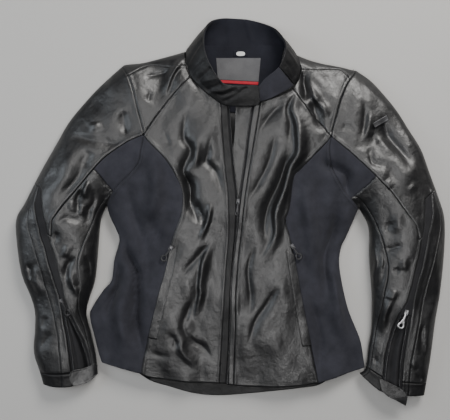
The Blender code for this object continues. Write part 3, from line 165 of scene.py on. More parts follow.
# Creases of the upper layer: height, half width to the left and right of the line, line as x, y
creases = [
    # front, wearer's right
    (-6.0, 10, 11, [(-78, 191), (-82, 140), (-73, 113), (-87, 77), (-69, 44), (-73, 11), (-59, -19)]),
    (-4.0, 9, 9, [(-32, 139), (-43, 105), (-45, 89), (-25, 66), (-12, 30)]),
    (-1.6, 5, 5, [(-118, 143), (-111, 129), (-106, 118)]),
    (3.0, 9, 6, [(-59, 139), (-64, 98), (-66, 75)]),
    (-4.0, 7, 9, [(-64, 23), (-52, -13), (-55, -25)]),
    (-6.0, 13, 12, [(-84, 74), (-74, 44), (-67, 8), (-58, -26)]),
    (3.2, 5, 5, [(-35, 19), (-45, -20), (-56, -51)]),
    (-3.4, 9, 9, [(-34, -53), (-64, -85), (-91, -112)]),
    (4.4, 9, 4, [(-30, -51), (-48, -85), (-56, -117), (-57, -133), (-55, -148), (-63, -194)]),
    (-3.0, 10, 10, [(-62, -137), (-77, -176), (-84, -201), (-77, -224), (-48, -249), (-29, -272)]),
    (-2.0, 5, 6, [(-68, -155), (-75, -180), (-79, -194)]),
    (3.0, 7, 7, [(-90, -216), (-88, -246), (-55, -277)]),
    (-2.2, 6, 6, [(-77, -214), (-68, -231), (-48, -244), (-32, -264)]),
    (-2.5, 7, 7, [(-115, -212), (-102, -223), (-99, -243)]),
    (-1.6, 6, 6, [(-147, -251), (-127, -253), (-109, -256)]),
    # yoke and side, wearer's right
    (4.0, 4, 9, [(-83, 277), (-100, 251), (-111, 224), (-119, 207)]),
    (-2.2, 5, 5, [(-141, 215), (-147, 195)]),
    (-3.0, 9, 9, [(-109, 251), (-131, 245), (-154, 242)]),
    (-3.5, 11, 11, [(-222, 11), (-192, -48), (-165, -115)]),
    (-6.0, 10, 10, [(-145, 4), (-137, -38), (-124, -66)]),
    (6.0, 14, 14, [(-140, 100), (-132, 30), (-140, -20)]),
    (-6.0, 14, 12, [(-184, 60), (-172, -10), (-150, -80), (-142, -150)]),
    (8.0, 13, 14, [(-192, -110), (-196, -180), (-188, -262)]),
    (6.0, 15, 14, [(142, 80), (134, 10), (146, -60), (150, -130)]),
    (-8.0, 13, 13, [(196, 30), (180, -40), (168, -100), (178, -180)]),
    (8.0, 14, 15, [(180, -90), (190, -160), (206, -250)]),
    (-6.0, 11, 13, [(140, -130), (156, -200), (160, -290)]),
    (-2.2, 8, 8, [(-108, -9), (-111, -40)]),
    (-15.0, 12, 9, [(-198, -45), (-183, -76), (-169, -109), (-171, -135), (-170, -169), (-166, -203),
                   (-163, -237), (-162, -261)]),
    (-9.0, 9, 9, [(-204, -72), (-206, -121), (-216, -169), (-226, -194)]),
    # sleeve, wearer's right
    (-4.0, 8, 10, [(-194, 184), (-190, 161), (-183, 139)]),
    (-3.0, 9, 9, [(-289, 132), (-269, 132), (-249, 127), (-213, 125), (-185, 132)]),
    (2.5, 9, 9, [(-240, 163), (-235, 145)]),
    (-4.0, 11, 11, [(-266, 76), (-249, 111)]),
    (-3.0, 10, 10, [(-261, 101), (-270, 63), (-291, 38), (-309, 22)]),
    (3.0, 14, 14, [(-275, 110), (-288, 91), (-296, 61), (-312, 35)]),
    (4.5, 4, 5, [(-250, 57), (-258, 24)]),
    (-4.5, 5, 4, [(-261, 43), (-270, 22), (-268, -2)]),
    (3.0, 4, 4, [(-263, 14), (-266, -9)]),
    (-3.0, 5, 5, [(-307, -19), (-291, -8), (-276, -13), (-263, -6)]),
    (-4.0, 5, 6, [(-240, 49), (-243, 20), (-252, 5), (-260, -26)]),
    (2.5, 6, 6, [(-281, 20), (-277, -2)]),
    (-4.0, 6, 6, [(-272, -79), (-285, -91), (-291, -106), (-293, -122)]),
    (-2.6, 6, 6, [(-309, -30), (-313, -50)]),
    (2.6, 8, 8, [(-286, -53), (-292, -81)]),
    (-3.5, 6, 6, [(-257, -74), (-252, -93), (-254, -117)]),
    (3.0, 6, 6, [(-280, -100), (-282, -121), (-272, -152)]),
    (-1.8, 5, 5, [(-282, -130), (-270, -132)]),
    (-4.0, 8, 8, [(-360, -87), (-356, -101), (-358, -121)]),
    (3.0, 10, 10, [(-347, -87), (-349, -116), (-340, -147)]),
    (-2.2, 7, 7, [(-319, -208), (-336, -233), (-342, -238)]),
    (-2.0, 6, 6, [(-330, -181), (-332, -206)]),
    # front, wearer's left
    (6.0, 12, 5, [(117, 224), (119, 212), (107, 186), (119, 154), (117, 107), (101, 78), (94, 39), (79, -4),
                  (76, -40), (64, -72), (49, -93)]),
    (-4.0, 12, 6, [(109, 215), (108, 206), (97, 184), (106, 154), (104, 114)]),
    (-7.0, 12, 12, [(106, 126), (94, 84), (83, 46), (66, 4), (58, -28), (66, -58)]),
    (-3.2, 10, 10, [(100, 200), (86, 188), (66, 170), (48, 143)]),
    (-3.6, 11, 11, [(84, 146), (70, 99), (50, 58), (27, 14)]),
    (-4.0, 10, 10, [(91, -119), (69, -153), (48, -187), (39, -213), (28, -238)]),
    (-3.5, 8, 8, [(42, -43), (35, -83), (32, -119), (34, -186)]),
    # yoke and side, wearer's left
    (-7.0, 14, 11, [(136, 206), (151, 176), (166, 144)]),
    (3.6, 9, 4, [(134, 242), (143, 211), (161, 184), (172, 163)]),
    (-7.0, 11, 10, [(123, 262), (129, 240), (131, 217), (128, 195)]),
    (-8.0, 9, 9, [(168, 112), (164, 90), (185, 79), (203, 65), (206, 41), (218, 22)]),
    # sleeve, wearer's left
    (-6.5, 15, 17, [(262, 176), (284, 138), (304, 106), (322, 72)]),
    (-2.6, 6, 6, [(235, 205), (236, 168), (234, 132)]),
    (2.8, 8, 5, [(243, 186), (239, 124)]),
    (-2.4, 8, 8, [(193, 152), (208, 149), (220, 140)]),
    (-4.0, 6, 6, [(216, 112), (236, 118), (247, 110), (249, 89), (271, 84), (285, 69), (309, 46)]),
    (-3.2, 7, 7, [(252, 146), (255, 133), (261, 119)]),
    (2.4, 7, 7, [(266, 138), (272, 124), (285, 105)]),
    (2.2, 7, 7, [(272, 61), (282, 42)]),
    (2.6, 6, 6, [(326, 50), (320, 37)]),
    (5.0, 4, 4, [(252, -57), (258, -74), (260, -88), (254, -112), (248, -136)]),
    (-5.0, 5, 5, [(246, -44), (249, -63), (252, -88), (247, -115)]),
    (3.5, 4, 4, [(260, -62), (269, -81), (265, -101), (254, -138)]),
    (-2.4, 4, 4, [(288, -97), (295, -109)]),
    (2.4, 7, 7, [(302, -82), (305, -93), (301, -104)]),
    (-2.6, 8, 8, [(272, -55), (283, -61), (305, -54)]),
    (3.0, 9, 9, [(288, -134), (280, -153)]),
    (2.6, 9, 9, [(290, 2), (291, -36)]),
    (-2.2, 7, 7, [(277, -12), (272, -34)]),
    (4.0, 7, 9, [(285, -143), (275, -175), (268, -213)]),
    (-2.6, 7, 7, [(258, -178), (252, -213)]),
    (-2.4, 4, 4, [(253, -254), (261, -268)]),
    (-3.2, 6, 6, [(344, -196), (337, -219), (340, -256)]),
    (2.0, 5, 5, [(324, -265), (331, -279)]),
    (-2.0, 4, 4, [(332, -289), (344, -304)]),
]

# Low wrinkles of the lower layer, which lies on the ground: height, half width, line
underCreases = [
    (1.1, 10, [(-120, -250), (-40, -200), (60, -190), (150, -230)]),
    (0.9, 12, [(-130, -120), (-30, -90), (80, -100), (140, -60)]),
    (1.0, 9, [(-90, 90), (0, 60), (100, 100)]),
    (0.8, 9, [(-60, 160), (-30, 20), (-50, -60)]),
    (0.9, 10, [(60, 150), (90, 30), (60, -40)]),
]


# A Catmull-Rom curve through the rows of a table: between rows b and c, with a before and d after them,
# (2b + (c - a) t + (2a - 5b + 4c - d) t^2 + (3b - a - 3c + d) t^3) / 2
def smooth(table, steps=8):
    p = np.array(table, float)
    a = np.vstack([2 * p[0] - p[1], p[:-1]])[:-1][:, None]
    d = np.vstack([p[1:], 2 * p[-1] - p[-2]])[1:][:, None]
    b, c = p[:-1, None], p[1:, None]
    t = np.linspace(0, 1, steps, endpoint=False)[None, :, None]
    curve = 0.5 * (2 * b + (c - a) * t + (2 * a - 5 * b + 4 * c - d) * t ** 2
                   + (3 * b - a - 3 * c + d) * t ** 3)
    return np.vstack([curve.reshape(-1, p.shape[1]), p[-1:]])


# first + (last - first) * share
def blend(first, last, share):
    return first + (last - first) * share


# Running length of a curve's first columns: the sum of the distances between its points
def runLength(curve, columns=2):
    steps = np.linalg.norm(np.diff(curve[:, :columns], axis=0), axis=1)
    return np.concatenate([[0], np.cumsum(steps)])


# The same as shares of the whole length
def runShare(curve):
    length = runLength(curve)
    return length / length[-1]


# A line's columns, read at places along its running length
def readAt(line, length, where):
    return np.stack([np.interp(where, length, line[:, k]) for k in range(line.shape[1])], axis=-1)


# Points of a polyline at shares of its length
def along(curve, shares):
    length = runLength(curve)
    return readAt(curve, length, np.asarray(shares, float) * length[-1])


far = 1e3


# For each plan point: distance to a polyline, side of it (1 is left of its direction), share of its
# length. On each stretch the nearest place is at t = (point - start) . d / (d . d), held in 0 to 1.
# Points farther off than reach are left at a far distance.
def nearest(points, line, reach=far):
    flat = points.reshape(-1, 2)
    gap, side, share = np.full(len(flat), far), np.ones(len(flat)), np.zeros(len(flat))
    close = np.flatnonzero(((flat > line.min(0) - reach) & (flat < line.max(0) + reach)).all(1))
    d = np.diff(line, axis=0)
    size = np.maximum((d * d).sum(1), 1e-9)
    length = runLength(line)
    for part in np.array_split(close, len(close) // 12000 + 1):  # in parts, to spare memory
        off = flat[part, None] - line[:-1]
        t = np.clip((off * d).sum(-1) / size, 0, 1)
        off -= t[..., None] * d
        squares = (off * off).sum(-1)
        k = squares.argmin(1)
        i = np.arange(len(part))
        gap[part] = np.sqrt(squares[i, k])
        turn = d[k, 0] * off[i, k, 1] - d[k, 1] * off[i, k, 0]
        side[part] = np.where(turn >= 0, 1, -1)
        share[part] = (length[k] + t[i, k] * np.sqrt(size)[k]) / length[-1]
    return [found.reshape(points.shape[:-1]) for found in (gap, side, share)]


rims = [smooth(halves[half][edge]) for half in halves
        for edge in ("bodyEdge", "sleeveInner", "sleeveOuter", "shoulder")]
neckLines = [smooth(halves[half][edge], 4) for half in halves for edge in ("neckFront", "neckSide")]


# Least distance to the garment's folded edges
def rimDistance(points):
    return np.min([nearest(points, rim)[0] for rim in rims], axis=0)


waves = {"seed": 5, "sizes": (44.0, 20.0), "heights": (4.9, 1.7), "stretch": 0.6, "sway": 0.25,
         "lattice": 64, "middle": 30}


# f * f * (3 - 2 f): from 0 to 1, level at both ends
def smoothStep(f):
    return f * f * (3 - 2 * f)


# Soft unevenness between the creases: random values on a lattice, blended with a smooth step, in two
# sizes; the lattice is stretched along y, the way the cloth hangs, and sways with sin(y / size)
def waveHeight(points):
    total = np.zeros(points.shape[:-1])
    for size, height in zip(waves["sizes"], waves["heights"]):
        values = np.random.default_rng(waves["seed"]).uniform(-1, 1, (waves["lattice"],) * 2)
        x = points[..., 0] / size + waves["middle"] + waves["sway"] * np.sin(points[..., 1] / size)
        y = points[..., 1] / size * waves["stretch"] + waves["middle"]
        i, j = np.floor(x).astype(int), np.floor(y).astype(int)
        s, t = smoothStep(x - i), smoothStep(y - j)
        near, beyond = [blend(values[i, j + k], values[i + 1, j + k], s) for k in (0, 1)]
        total += height * blend(near, beyond, t)
    return total


creaseForm = {
    "scale": 1.35, "low": 0.75, "gain": 0.09, "full": 6,   # heights grow by scale * (low + gain * height)
    "wind": 2.2, "windSizes": (17, 29, 19, 23),            # how far and how often a line winds
    "rounding": 0.22, "shoulder": 0.3, "fall": 1.5,        # a trough's section
    "ridgeShoulder": 0.6, "ridgeWidth": 1.5,               # a ridge's section
    "reach": 3.2,                                          # in half widths
    "ends": 2.7, "least": 0.06,                            # how fast and how far it fades along its line
}


# Sum over the creases, with g = distance / half width. A trough is folded sharper at its bottom:
# height * (1 - shoulder a) * exp(-fall a), where a is g rounded off near 0. A ridge is round:
# height * (1 - ridgeShoulder g^2) * exp(-g^2 / ridgeWidth). Each fades towards its line's two ends.
def creaseHeight(points):
    form, (x, y) = creaseForm, np.moveaxis(points, -1, 0)
    a, b, c, d = form["windSizes"]
    wound = np.stack([np.sin(y / a + np.sin(x / b)), np.sin(x / c + np.sin(y / d))], axis=-1)
    points = points + form["wind"] * wound
    total = np.zeros(points.shape[:-1])
    for height, left, right, line in creases:
        gap, side, share = nearest(points, smooth(line, 5), form["reach"] * max(left, right))
        g = gap / np.where(side > 0, left, right)
        ends = np.clip(np.minimum(share, 1 - share) * form["ends"] + form["least"], 0, 1)
        height *= form["scale"] * (form["low"] + form["gain"] * min(abs(height), form["full"]))
        sharp = np.sqrt(g * g + form["rounding"] ** 2) - form["rounding"]
        if height < 0:
            section = (1 - form["shoulder"] * np.minimum(sharp, 3)) * np.exp(-form["fall"] * sharp)
        else:
            section = (1 - form["ridgeShoulder"] * g * g) * np.exp(-g * g / form["ridgeWidth"])
        total += height * section * smoothStep(ends)
    return total + waveHeight(points)


# Seams of the upper layer, filled in as the pieces' plans are made: line, side of the raised double
# topstitched edge (both for bothSides), distances of its two stitch rows
seams = []
bothSides = 2
seamForm = {"reach": 13, "roll": 0.9, "rollWidth": 0.9, "edge": 0.75, "edgeFrom": 1.2, "edgeSlope": 0.5,
            "groove": 0.35, "grooveWidth": 0.6}


# Groove of a stitch row at distance d: depth * exp(-((d - row) / width)^2)
def groove(d, row, depth=seamForm["groove"]):
    return depth * np.exp(-((d - row) / seamForm["grooveWidth"]) ** 2)


# A raised border that ends at a distance: 1 / (1 + exp((d - end) / slope))
def border(d, end, slope):
    return 1 / (1 + np.exp((np.minimum(d, 40) - end) / slope))


# Beside a seam the leather rolls down into it: -roll * exp(-(gap / width)^2). On its raised side a flat
# edge stands out by the thickness of the turned allowance, less a groove along each row of stitches.
def seamHeight(points):
    total = np.zeros(points.shape[:-1])
    for line, raised, stitchRows in seams:
        gap, side, _ = nearest(points, line, seamForm["reach"])
        total -= seamForm["roll"] * np.exp(-(gap / seamForm["rollWidth"]) ** 2)
        edge = seamForm["edge"] * border(gap, stitchRows[1] + seamForm["edgeFrom"], seamForm["edgeSlope"])
        edge -= sum(groove(gap, row) for row in stitchRows)
        total += np.where((side == raised) | (raised == bothSides), edge, 0)
    return total


# Height of the trunk's middle over the ground, from its table by y
def crownOfBody(points):
    ys, heights = zip(*bodyCrown)
    return np.interp(points[..., 1], ys, heights)


# A quarter ellipse from the rim up to the crown over the dome's width, low + (crown - low) *
# sqrt(1 - (1 - d / dome)^2), plus creases and seams
def topHeight(points, crown, dome, sewn=True):
    d = rimDistance(points)
    neck = np.min([nearest(points, line, 30)[0] for line in neckLines], axis=0)
    fade = np.clip(d / shape["foldFade"], 0, 1)
    fade *= np.clip(neck / shape["neckFade"] + shape["neckLeast"], 0, 1)
    rise = np.sqrt(1 - (1 - np.clip(d / dome, 0, 1)) ** 2)
    low = shape["rimHeight"]
    seam = seamHeight(points) * np.clip(d / shape["seamFade"], 0, 1) if sewn else 0
    return low + (crown - low) * rise + creaseHeight(points) * fade + seam


# Flat on the ground, curling up to the rim in a quarter ellipse, rim * (1 - sqrt(1 - curl^2)), with
# low wrinkles that point up
def underHeight(points):
    d = rimDistance(points)
    curl = 1 - np.clip(d / shape["rimCurl"], 0, 1)
    z = shape["rimHeight"] * (1 - np.sqrt(1 - curl ** 2))
    for height, width, line in underCreases:
        z += height * np.exp(-(nearest(points, smooth(line, 5), 3 * width)[0] / width) ** 2)
    return z


# Vectors made one long
def unit(vectors):
    return vectors / np.maximum(np.linalg.norm(vectors, axis=-1, keepdims=True), 1e-9)


# Plan points of the trunk raised to the upper layer, and to the lower one
def onTop(points, sewn=True):
    return np.dstack([points, topHeight(points, crownOfBody(points), shape["bodyDome"], sewn)])


def onGround(points):
    return np.dstack([points, underHeight(points)])


# Offsets of the fine mesh lines beside a folded rim and a seam, and the share of a length they may take
fineSteps = {"rim": 0.05 * np.arange(26) ** 2, "seam": np.array([0, 0.8, 1.6, 2.6, 4, 5.5, 7, 9]),
             "plain": np.zeros(1)}
fineRoom = 0.42


# Shares of a length: fine steps at both ends, even steps between them
def spaced(length, first, last, step):
    start, end = [offsets * min(1, fineRoom * length / max(offsets[-1], 1e-9))
                  for offsets in (fineSteps[first], fineSteps[last])]
    middle = length - start[-1] - end[-1]
    even = np.linspace(start[-1], length - end[-1], max(2, int(round(middle / step)) + 1))
    return np.concatenate([start[:-1], even, (length - end[:-1])[::-1]]) / length


# Coons patch between four curves: the two ruled surfaces added, less the bilinear one of the corners
def patch(bottom, top, left, right):
    s = 0.5 * (runShare(left) + runShare(right))[:, None, None]
    t = 0.5 * (runShare(bottom) + runShare(top))[None, :, None]
    sides = blend(left[:, None], right[:, None], t) + blend(bottom[None], top[None], s)
    return sides - blend(blend(bottom[0], bottom[-1], t), blend(top[0], top[-1], t), s)


# Rows of a grid between two lines at shares of the way
def between(first, last, shares):
    return blend(first[None], last[None], shares[:, None, None])


# Columns of a grid between two lines at shares of the way
def beside(first, last, shares):
    return blend(first[:, None], last[:, None], shares[None, :, None])


# A node material: its shader with constant sockets set directly
def newMaterial(name, colour, roughness, metallic=0.0, **sockets):
    material = bpy.data.materials.new(name)
    material.use_nodes = True
    shader = material.node_tree.nodes["Principled BSDF"]
    shader.inputs["Base Color"].default_value = (*colour, 1)
    shader.inputs["Roughness"].default_value = roughness
    shader.inputs["Metallic"].default_value = metallic
    for socket, value in sockets.items():
        shader.inputs[socket.replace("_", " ")].default_value = value
    return material, material.node_tree, shader


# Joins an output to an input
def link(tree, first, output, second, socket):
    tree.links.new(first.outputs[output], second.inputs[socket])


# Adds a texture read at Object coordinates, with its scale in cells for each metre
def texture(tree, kind, scale, **values):
    node = tree.nodes.new(kind)
    place = tree.nodes.get("place") or tree.nodes.new("ShaderNodeTexCoord")
    place.name = "place"
    link(tree, place, "Object", node, "Vector")
    node.inputs["Scale"].default_value = scale
    for socket, value in values.items():
        node.inputs[socket].default_value = value
    return node


# Chains bumps: texture output, height in metres, strength
def addBumps(tree, shader, bumps):
    before = None
    for node, output, height, strength in bumps:
        bump = tree.nodes.new("ShaderNodeBump")
        bump.inputs["Distance"].default_value = height
        bump.inputs["Strength"].default_value = strength
        link(tree, node, output, bump, "Height")
        if before:
            link(tree, before, "Normal", bump, "Normal")
        before = bump
    link(tree, before, "Normal", shader, "Normal")


# Spreads a texture's value between two colours or two numbers
def spread(tree, node, output, low, high, start=0.3, end=0.7):
    ramp = tree.nodes.new("ShaderNodeValToRGB")
    ramp.color_ramp.elements[0].position = start
    ramp.color_ramp.elements[1].position = end
    ramp.color_ramp.elements[0].color = (*low, 1) if len(low) == 3 else low
    ramp.color_ramp.elements[1].color = (*high, 1) if len(high) == 3 else high
    link(tree, node, output, ramp, "Fac")
    return ramp


# Two colours, two roughnesses, heights of the grain and of the wrinkles in metres, specular level
leather = {
    "dark": (0.003, 0.003, 0.0035), "light": (0.007, 0.007, 0.0078),
    "smooth": 0.36, "dull": 0.5, "grain": 0.00016, "wrinkle": 0.0006, "shine": 0.8,
}


# Colour and roughness vary with noise; the bumps of hollows, wrinkles and grain add up
def makeLeather(name, look):
    material, tree, shader = newMaterial(name, look["dark"], look["smooth"], Specular_IOR_Level=look["shine"])
    mottle = texture(tree, "ShaderNodeTexNoise", 38, Detail=4, Roughness=0.6)
    link(tree, spread(tree, mottle, "Fac", look["dark"], look["light"]), "Color", shader, "Base Color")
    sheen = texture(tree, "ShaderNodeTexNoise", 95, Detail=3, Roughness=0.7)
    ramp = spread(tree, sheen, "Fac", (look["smooth"],) * 3, (look["dull"],) * 3)
    link(tree, ramp, "Color", shader, "Roughness")
    grain = texture(tree, "ShaderNodeTexVoronoi", 900)
    wrinkle = texture(tree, "ShaderNodeTexNoise", 190, Detail=5, Roughness=0.6)
    soft = texture(tree, "ShaderNodeTexNoise", 55, Detail=2, Roughness=0.5)
    addBumps(tree, shader, [(soft, "Fac", 0.0022, 0.6), (wrinkle, "Fac", look["wrinkle"], 0.8),
                            (grain, "Distance", look["grain"], 0.5)])
    return material


# Cloths: dark and light colour, roughness, the weave's height and its cells for each metre
cloths = {
    "softshell": ((0.018, 0.0185, 0.024), (0.034, 0.0345, 0.044), 0.9, 0.00012, 1500),
    "lining": ((0.006, 0.0065, 0.011), (0.011, 0.012, 0.019), 0.8, 0.0002, 900),
    "zip_tape": ((0.008, 0.008, 0.009), (0.016, 0.016, 0.018), 0.8, 0.0003, 700),
    "thread": ((0.008, 0.008, 0.009), (0.018, 0.018, 0.019), 0.6, 0.0002, 1200),
    "bandCloth": ((0.010, 0.010, 0.0115), (0.021, 0.021, 0.023), 0.75, 0.00025, 1100),
    "label": ((0.085, 0.085, 0.09), (0.12, 0.12, 0.125), 0.85, 0.0003, 800),
    "label_edge": ((0.36, 0.015, 0.03), (0.5, 0.03, 0.045), 0.7, 0.0003, 800),
    "tag": ((0.55, 0.55, 0.54), (0.7, 0.7, 0.69), 0.75, 0.0002, 900),
}


# Colour varies with noise; the bumps of hollows and of the weave's cells add up
def makeCloth(name, dark, light, rough, weaveHeight, cells):
    material, tree, shader = newMaterial(name, dark, rough, Sheen_Weight=0.04, Sheen_Roughness=0.5,
                                         Specular_IOR_Level=0.2)
    mottle = texture(tree, "ShaderNodeTexNoise", 30, Detail=5, Roughness=0.65)
    link(tree, spread(tree, mottle, "Fac", dark, light), "Color", shader, "Base Color")
    weave = texture(tree, "ShaderNodeTexVoronoi", cells)
    soft = texture(tree, "ShaderNodeTexNoise", 60, Detail=3, Roughness=0.5)
    addBumps(tree, shader, [(soft, "Fac", 0.0012, 0.5), (weave, "Distance", weaveHeight, 0.5)])
    return material


# Metals and the badge: dark and light colour, roughness
metals = {
    "metal": ((0.30, 0.30, 0.31), (0.62, 0.62, 0.63), 0.28),
    "darkMetal": ((0.03, 0.03, 0.032), (0.08, 0.08, 0.083), 0.42),
    "teeth": ((0.05, 0.05, 0.052), (0.13, 0.13, 0.135), 0.35),
    "badge": ((0.09, 0.09, 0.095), (0.2, 0.2, 0.21), 0.55),
}


# Colour and fine bumps vary with one noise
def makeMetal(name, dark, light, rough):
    material, tree, shader = newMaterial(name, light, rough, 1.0)
    wear = texture(tree, "ShaderNodeTexNoise", 700, Detail=4, Roughness=0.7)
    link(tree, spread(tree, wear, "Fac", dark, light), "Color", shader, "Base Color")
    addBumps(tree, shader, [(wear, "Fac", 0.00004, 0.4)])
    return material


# cuff_pull_left becomes cuffPullLeft
def camelName(node):
    first, *others = node.split("_")
    return first + "".join(word.capitalize() for word in others)


finishes = {
    "leather": makeLeather("leather", leather),
    # The second leather keeps the leather's colours but is rougher and much less shiny, so it renders darker:
    # a shaded copy of the leather, painted shade on the pieces it covers
    "darkLeather": makeLeather("darkLeather", {**leather, "smooth": 0.42, "dull": 0.6, "shine": 0.35}),
    **{name: makeCloth(camelName(name), *look) for name, look in cloths.items()},
    **{name: makeMetal(name, *look) for name, look in metals.items()},
}
print("materials made:", len(finishes))


# A new object in the scene
def newObject(name, data):
    made = bpy.data.objects.new(name, data)
    bpy.context.scene.collection.objects.link(made)
    return made


# A mesh as a piece of its body, in its finish's slot, in place of the frame's nodes
def tie(name, mesh, finish, replaced, body):
    mesh.shade_smooth()
    mesh.materials.append(finishes[finish])
    piece = newObject(name, mesh)
    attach(piece, body)
    if replaced:
        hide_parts(*replaced)
    return piece


# A piece from points in the garment frame: world = (point + originShift) * mm
def addPiece(name, points, faces, finish, replaced=(), body="root"):
    mesh = bpy.data.meshes.new(name)
    points = np.array(points, float)
    points[:, 2] = np.maximum(points[:, 2], 0)   # nothing reaches below the surface it lies on
    mesh.from_pydata(((points + originShift) * mm).tolist(), [], np.asarray(faces).tolist())
    mesh.update()
    return tie(name, mesh, finish, replaced, body)


# Corner numbers of a grid's cells
def cellsOf(rows, columns):
    ids = np.arange(rows * columns).reshape(rows, columns)
    cells = np.stack([ids[:-1, :-1], ids[:-1, 1:], ids[1:, 1:], ids[1:, :-1]], axis=-1)
    return cells.reshape(-1, 4)


# Unit normals: each point's sum of the cross products of its cells' diagonals
def normalsOf(points, cells):
    corners = points[cells]
    faces = np.cross(corners[:, 2] - corners[:, 0], corners[:, 3] - corners[:, 1])
    total = np.zeros_like(points)
    for k in range(4):
        np.add.at(total, cells[:, k], faces)
    return unit(total)


sharpest, edgeRound = 0.3, 0.12   # limit of |a + b|^2 at corners, and how far a wall's edge bulges


# A closed wall: the cells moved out by lift, and again moved in by the thickness, drawn in from their
# borders by half the seam gap, with a rounded strip between the two layers. A border point moves by
# 2 * (a + b) / |a + b|^2 of its two edges' inward directions, which keeps the gap even at corners.
def wallOf(points, normals, cells, thickness, lift=0.0, gap=None):
    gap = shape["seamGap"] if gap is None else gap
    used, cells = np.unique(cells, return_inverse=True)
    cells = cells.reshape(-1, 4)
    outer, normal, count = points[used].copy(), normals[used], len(used)
    edges = np.concatenate([cells[:, [k, (k + 1) % 4]] for k in range(4)])
    codes = edges[:, 0] * count + edges[:, 1]
    edges = edges[~np.isin(edges[:, 1] * count + edges[:, 0], codes)]
    a, b = edges.T
    side = unit(np.cross(normal[a] + normal[b], outer[b] - outer[a]))
    inward = np.zeros_like(outer)
    np.add.at(inward, a, side)
    np.add.at(inward, b, side)
    size = (inward ** 2).sum(axis=1, keepdims=True)
    inward = np.where(size > sharpest, 2 * inward / np.maximum(size, sharpest), inward)
    outer += inward * gap / 2 + normal * lift
    outer[:, 2] = np.maximum(outer[:, 2], 0)
    inner = outer - normal * thickness
    rimIds, place = np.unique(edges, return_inverse=True)
    place = place.reshape(-1, 2) + 2 * count
    middle = 0.5 * (outer + inner)[rimIds] - inward[rimIds] * edgeRound
    strip = np.vstack([np.stack([b, a, place[:, 0], place[:, 1]], axis=1),
                       np.stack([place[:, 1], place[:, 0], a + count, b + count], axis=1)])
    return np.vstack([outer, inner, middle]), np.vstack([cells, cells[:, ::-1] + count, strip])


# Turns cells so that the ones near the test place of a grid face up, or down
def facing(grid, cells, up=True, test=None):
    points = grid.reshape(-1, 3)
    corners = points[cells if test is None else cells[test]]
    z = np.cross(corners[:, 2] - corners[:, 0], corners[:, 3] - corners[:, 1])[:, 2].sum()
    return cells if (z > 0) == up else cells[:, ::-1]


# A sheet's flat area: half of its closed wall's faces
def sheetArea(piece):
    areas = np.empty(len(piece.data.polygons))
    piece.data.polygons.foreach_get("area", areas)
    return float(areas.sum() / 2)


slack, leastFill = 1.002, 0.301   # a flat rectangle holds the piece's area, which fills 30 % of it


# Works out a sheet's area and the rectangle it is cut from, along its longest way in plan; nothing is kept
def declare(piece):
    area = sheetArea(piece)
    points = np.empty(len(piece.data.vertices) * 3)
    piece.data.vertices.foreach_get("co", points)
    points = points.reshape(-1, 3)
    middle = points[:, :2] - points[:, :2].mean(0)
    turn = np.linalg.svd(middle, full_matrices=False)[2]
    width, length = sorted(np.ptp(middle @ turn.T, axis=0))
    width *= max(1.0, area / (width * length) * slack)


# Works out a strip's area; nothing is kept
def declareStrip(piece, width, least, restsOn):
    area = sheetArea(piece)


# A wall from some cells of a surface, with its rectangle worked out
def clothPiece(name, points, cells, finish, replaced, lift=0.0, thickness=None, normals=None):
    normals = normalsOf(points, cells) if normals is None else normals
    thickness = shape["wall"] if thickness is None else thickness
    piece = addPiece(name, *wallOf(points, normals, cells, thickness, lift), finish, replaced)
    declare(piece)


# The same on one grid of its own
def gridPiece(name, grid, finish, node, lift=0.0, thickness=None, up=True):
    cells = facing(grid, cellsOf(*grid.shape[:2]), up)
    clothPiece(name, grid.reshape(-1, 3), cells, finish, [node], lift, thickness)


# A wall on one grid, without a sheet's pattern
def gridWall(name, grid, finish, node, thickness, cells=None):
    cells = facing(grid, cellsOf(*grid.shape[:2])) if cells is None else cells
    points = grid.reshape(-1, 3)
    return addPiece(name, *wallOf(points, normalsOf(points, cells), cells, thickness), finish, [node])


turns = {"right": 1, "left": -1}
sleeveCuts = {"gussetEnd": 0.24, "bandStart": 0.42, "zipStart": 0.74, "cuffBand": 0.035, "gussetDepth": 2.4,
              "rows": 20, "rowCells": 10, "rim": 24.0, "under": 126.0,
              # the underarm gusset's end: a point on the diagonal seam; its other corner is at the armhole
              "gussetTip": {"right": (-240, 78), "left": (251, 63)}, "gussetFoot": 0.03, "gussetReach": 0.45}
armholeStarts = {"outerSeam": 0.08, "bandOuter": 0.17, "bandInner": 0.34}
seamOrder = [("outerSeam", 8), ("bandOuter", 5), ("bandInner", 6), ("diagonal", 7), ("innerSeam", 8)]
cadRows = np.append(np.linspace(0, 1 - sleeveCuts["cuffBand"], sleeveCuts["rows"]), 1.0)
lastRow = (len(cadRows) - 2) * sleeveCuts["rowCells"]


# Share of a curve's length at its point nearest to a place
def shareOf(curve, point):
    return runShare(curve)[np.argmin(np.linalg.norm(curve - np.array(point, float), axis=1))]


# Plan points of sleeve sections u at shares v from the outer to the inner rim: straight lines between the
# two rims, bent to the armhole's line near u = 0 and to the cuff's line near u = 1
def sleevePlan(half, u, v):
    outer, inner, armhole, cuff = [smooth(halves[half][name])
                                   for name in ("sleeveOuter", "sleeveInner", "armhole", "cuff")]
    v = np.asarray(v, float)[..., None]
    u = np.asarray(u, float)
    u = u[:, None] if u.ndim == 1 else u
    here = blend(along(outer, u), along(inner, u ** shape["innerSlowness"]), v)
    nearArmhole = (np.maximum(0, 1 - u / shape["armholePull"]) ** 2)[..., None]
    nearCuff = (np.maximum(0, 1 - (1 - u) / shape["cuffPull"]) ** 2)[..., None]
    return (here + nearArmhole * (along(armhole, v[..., 0]) - blend(outer[0], inner[0], v))
            + nearCuff * (along(cuff, v[..., 0]) - blend(outer[-1], inner[-1], v)))


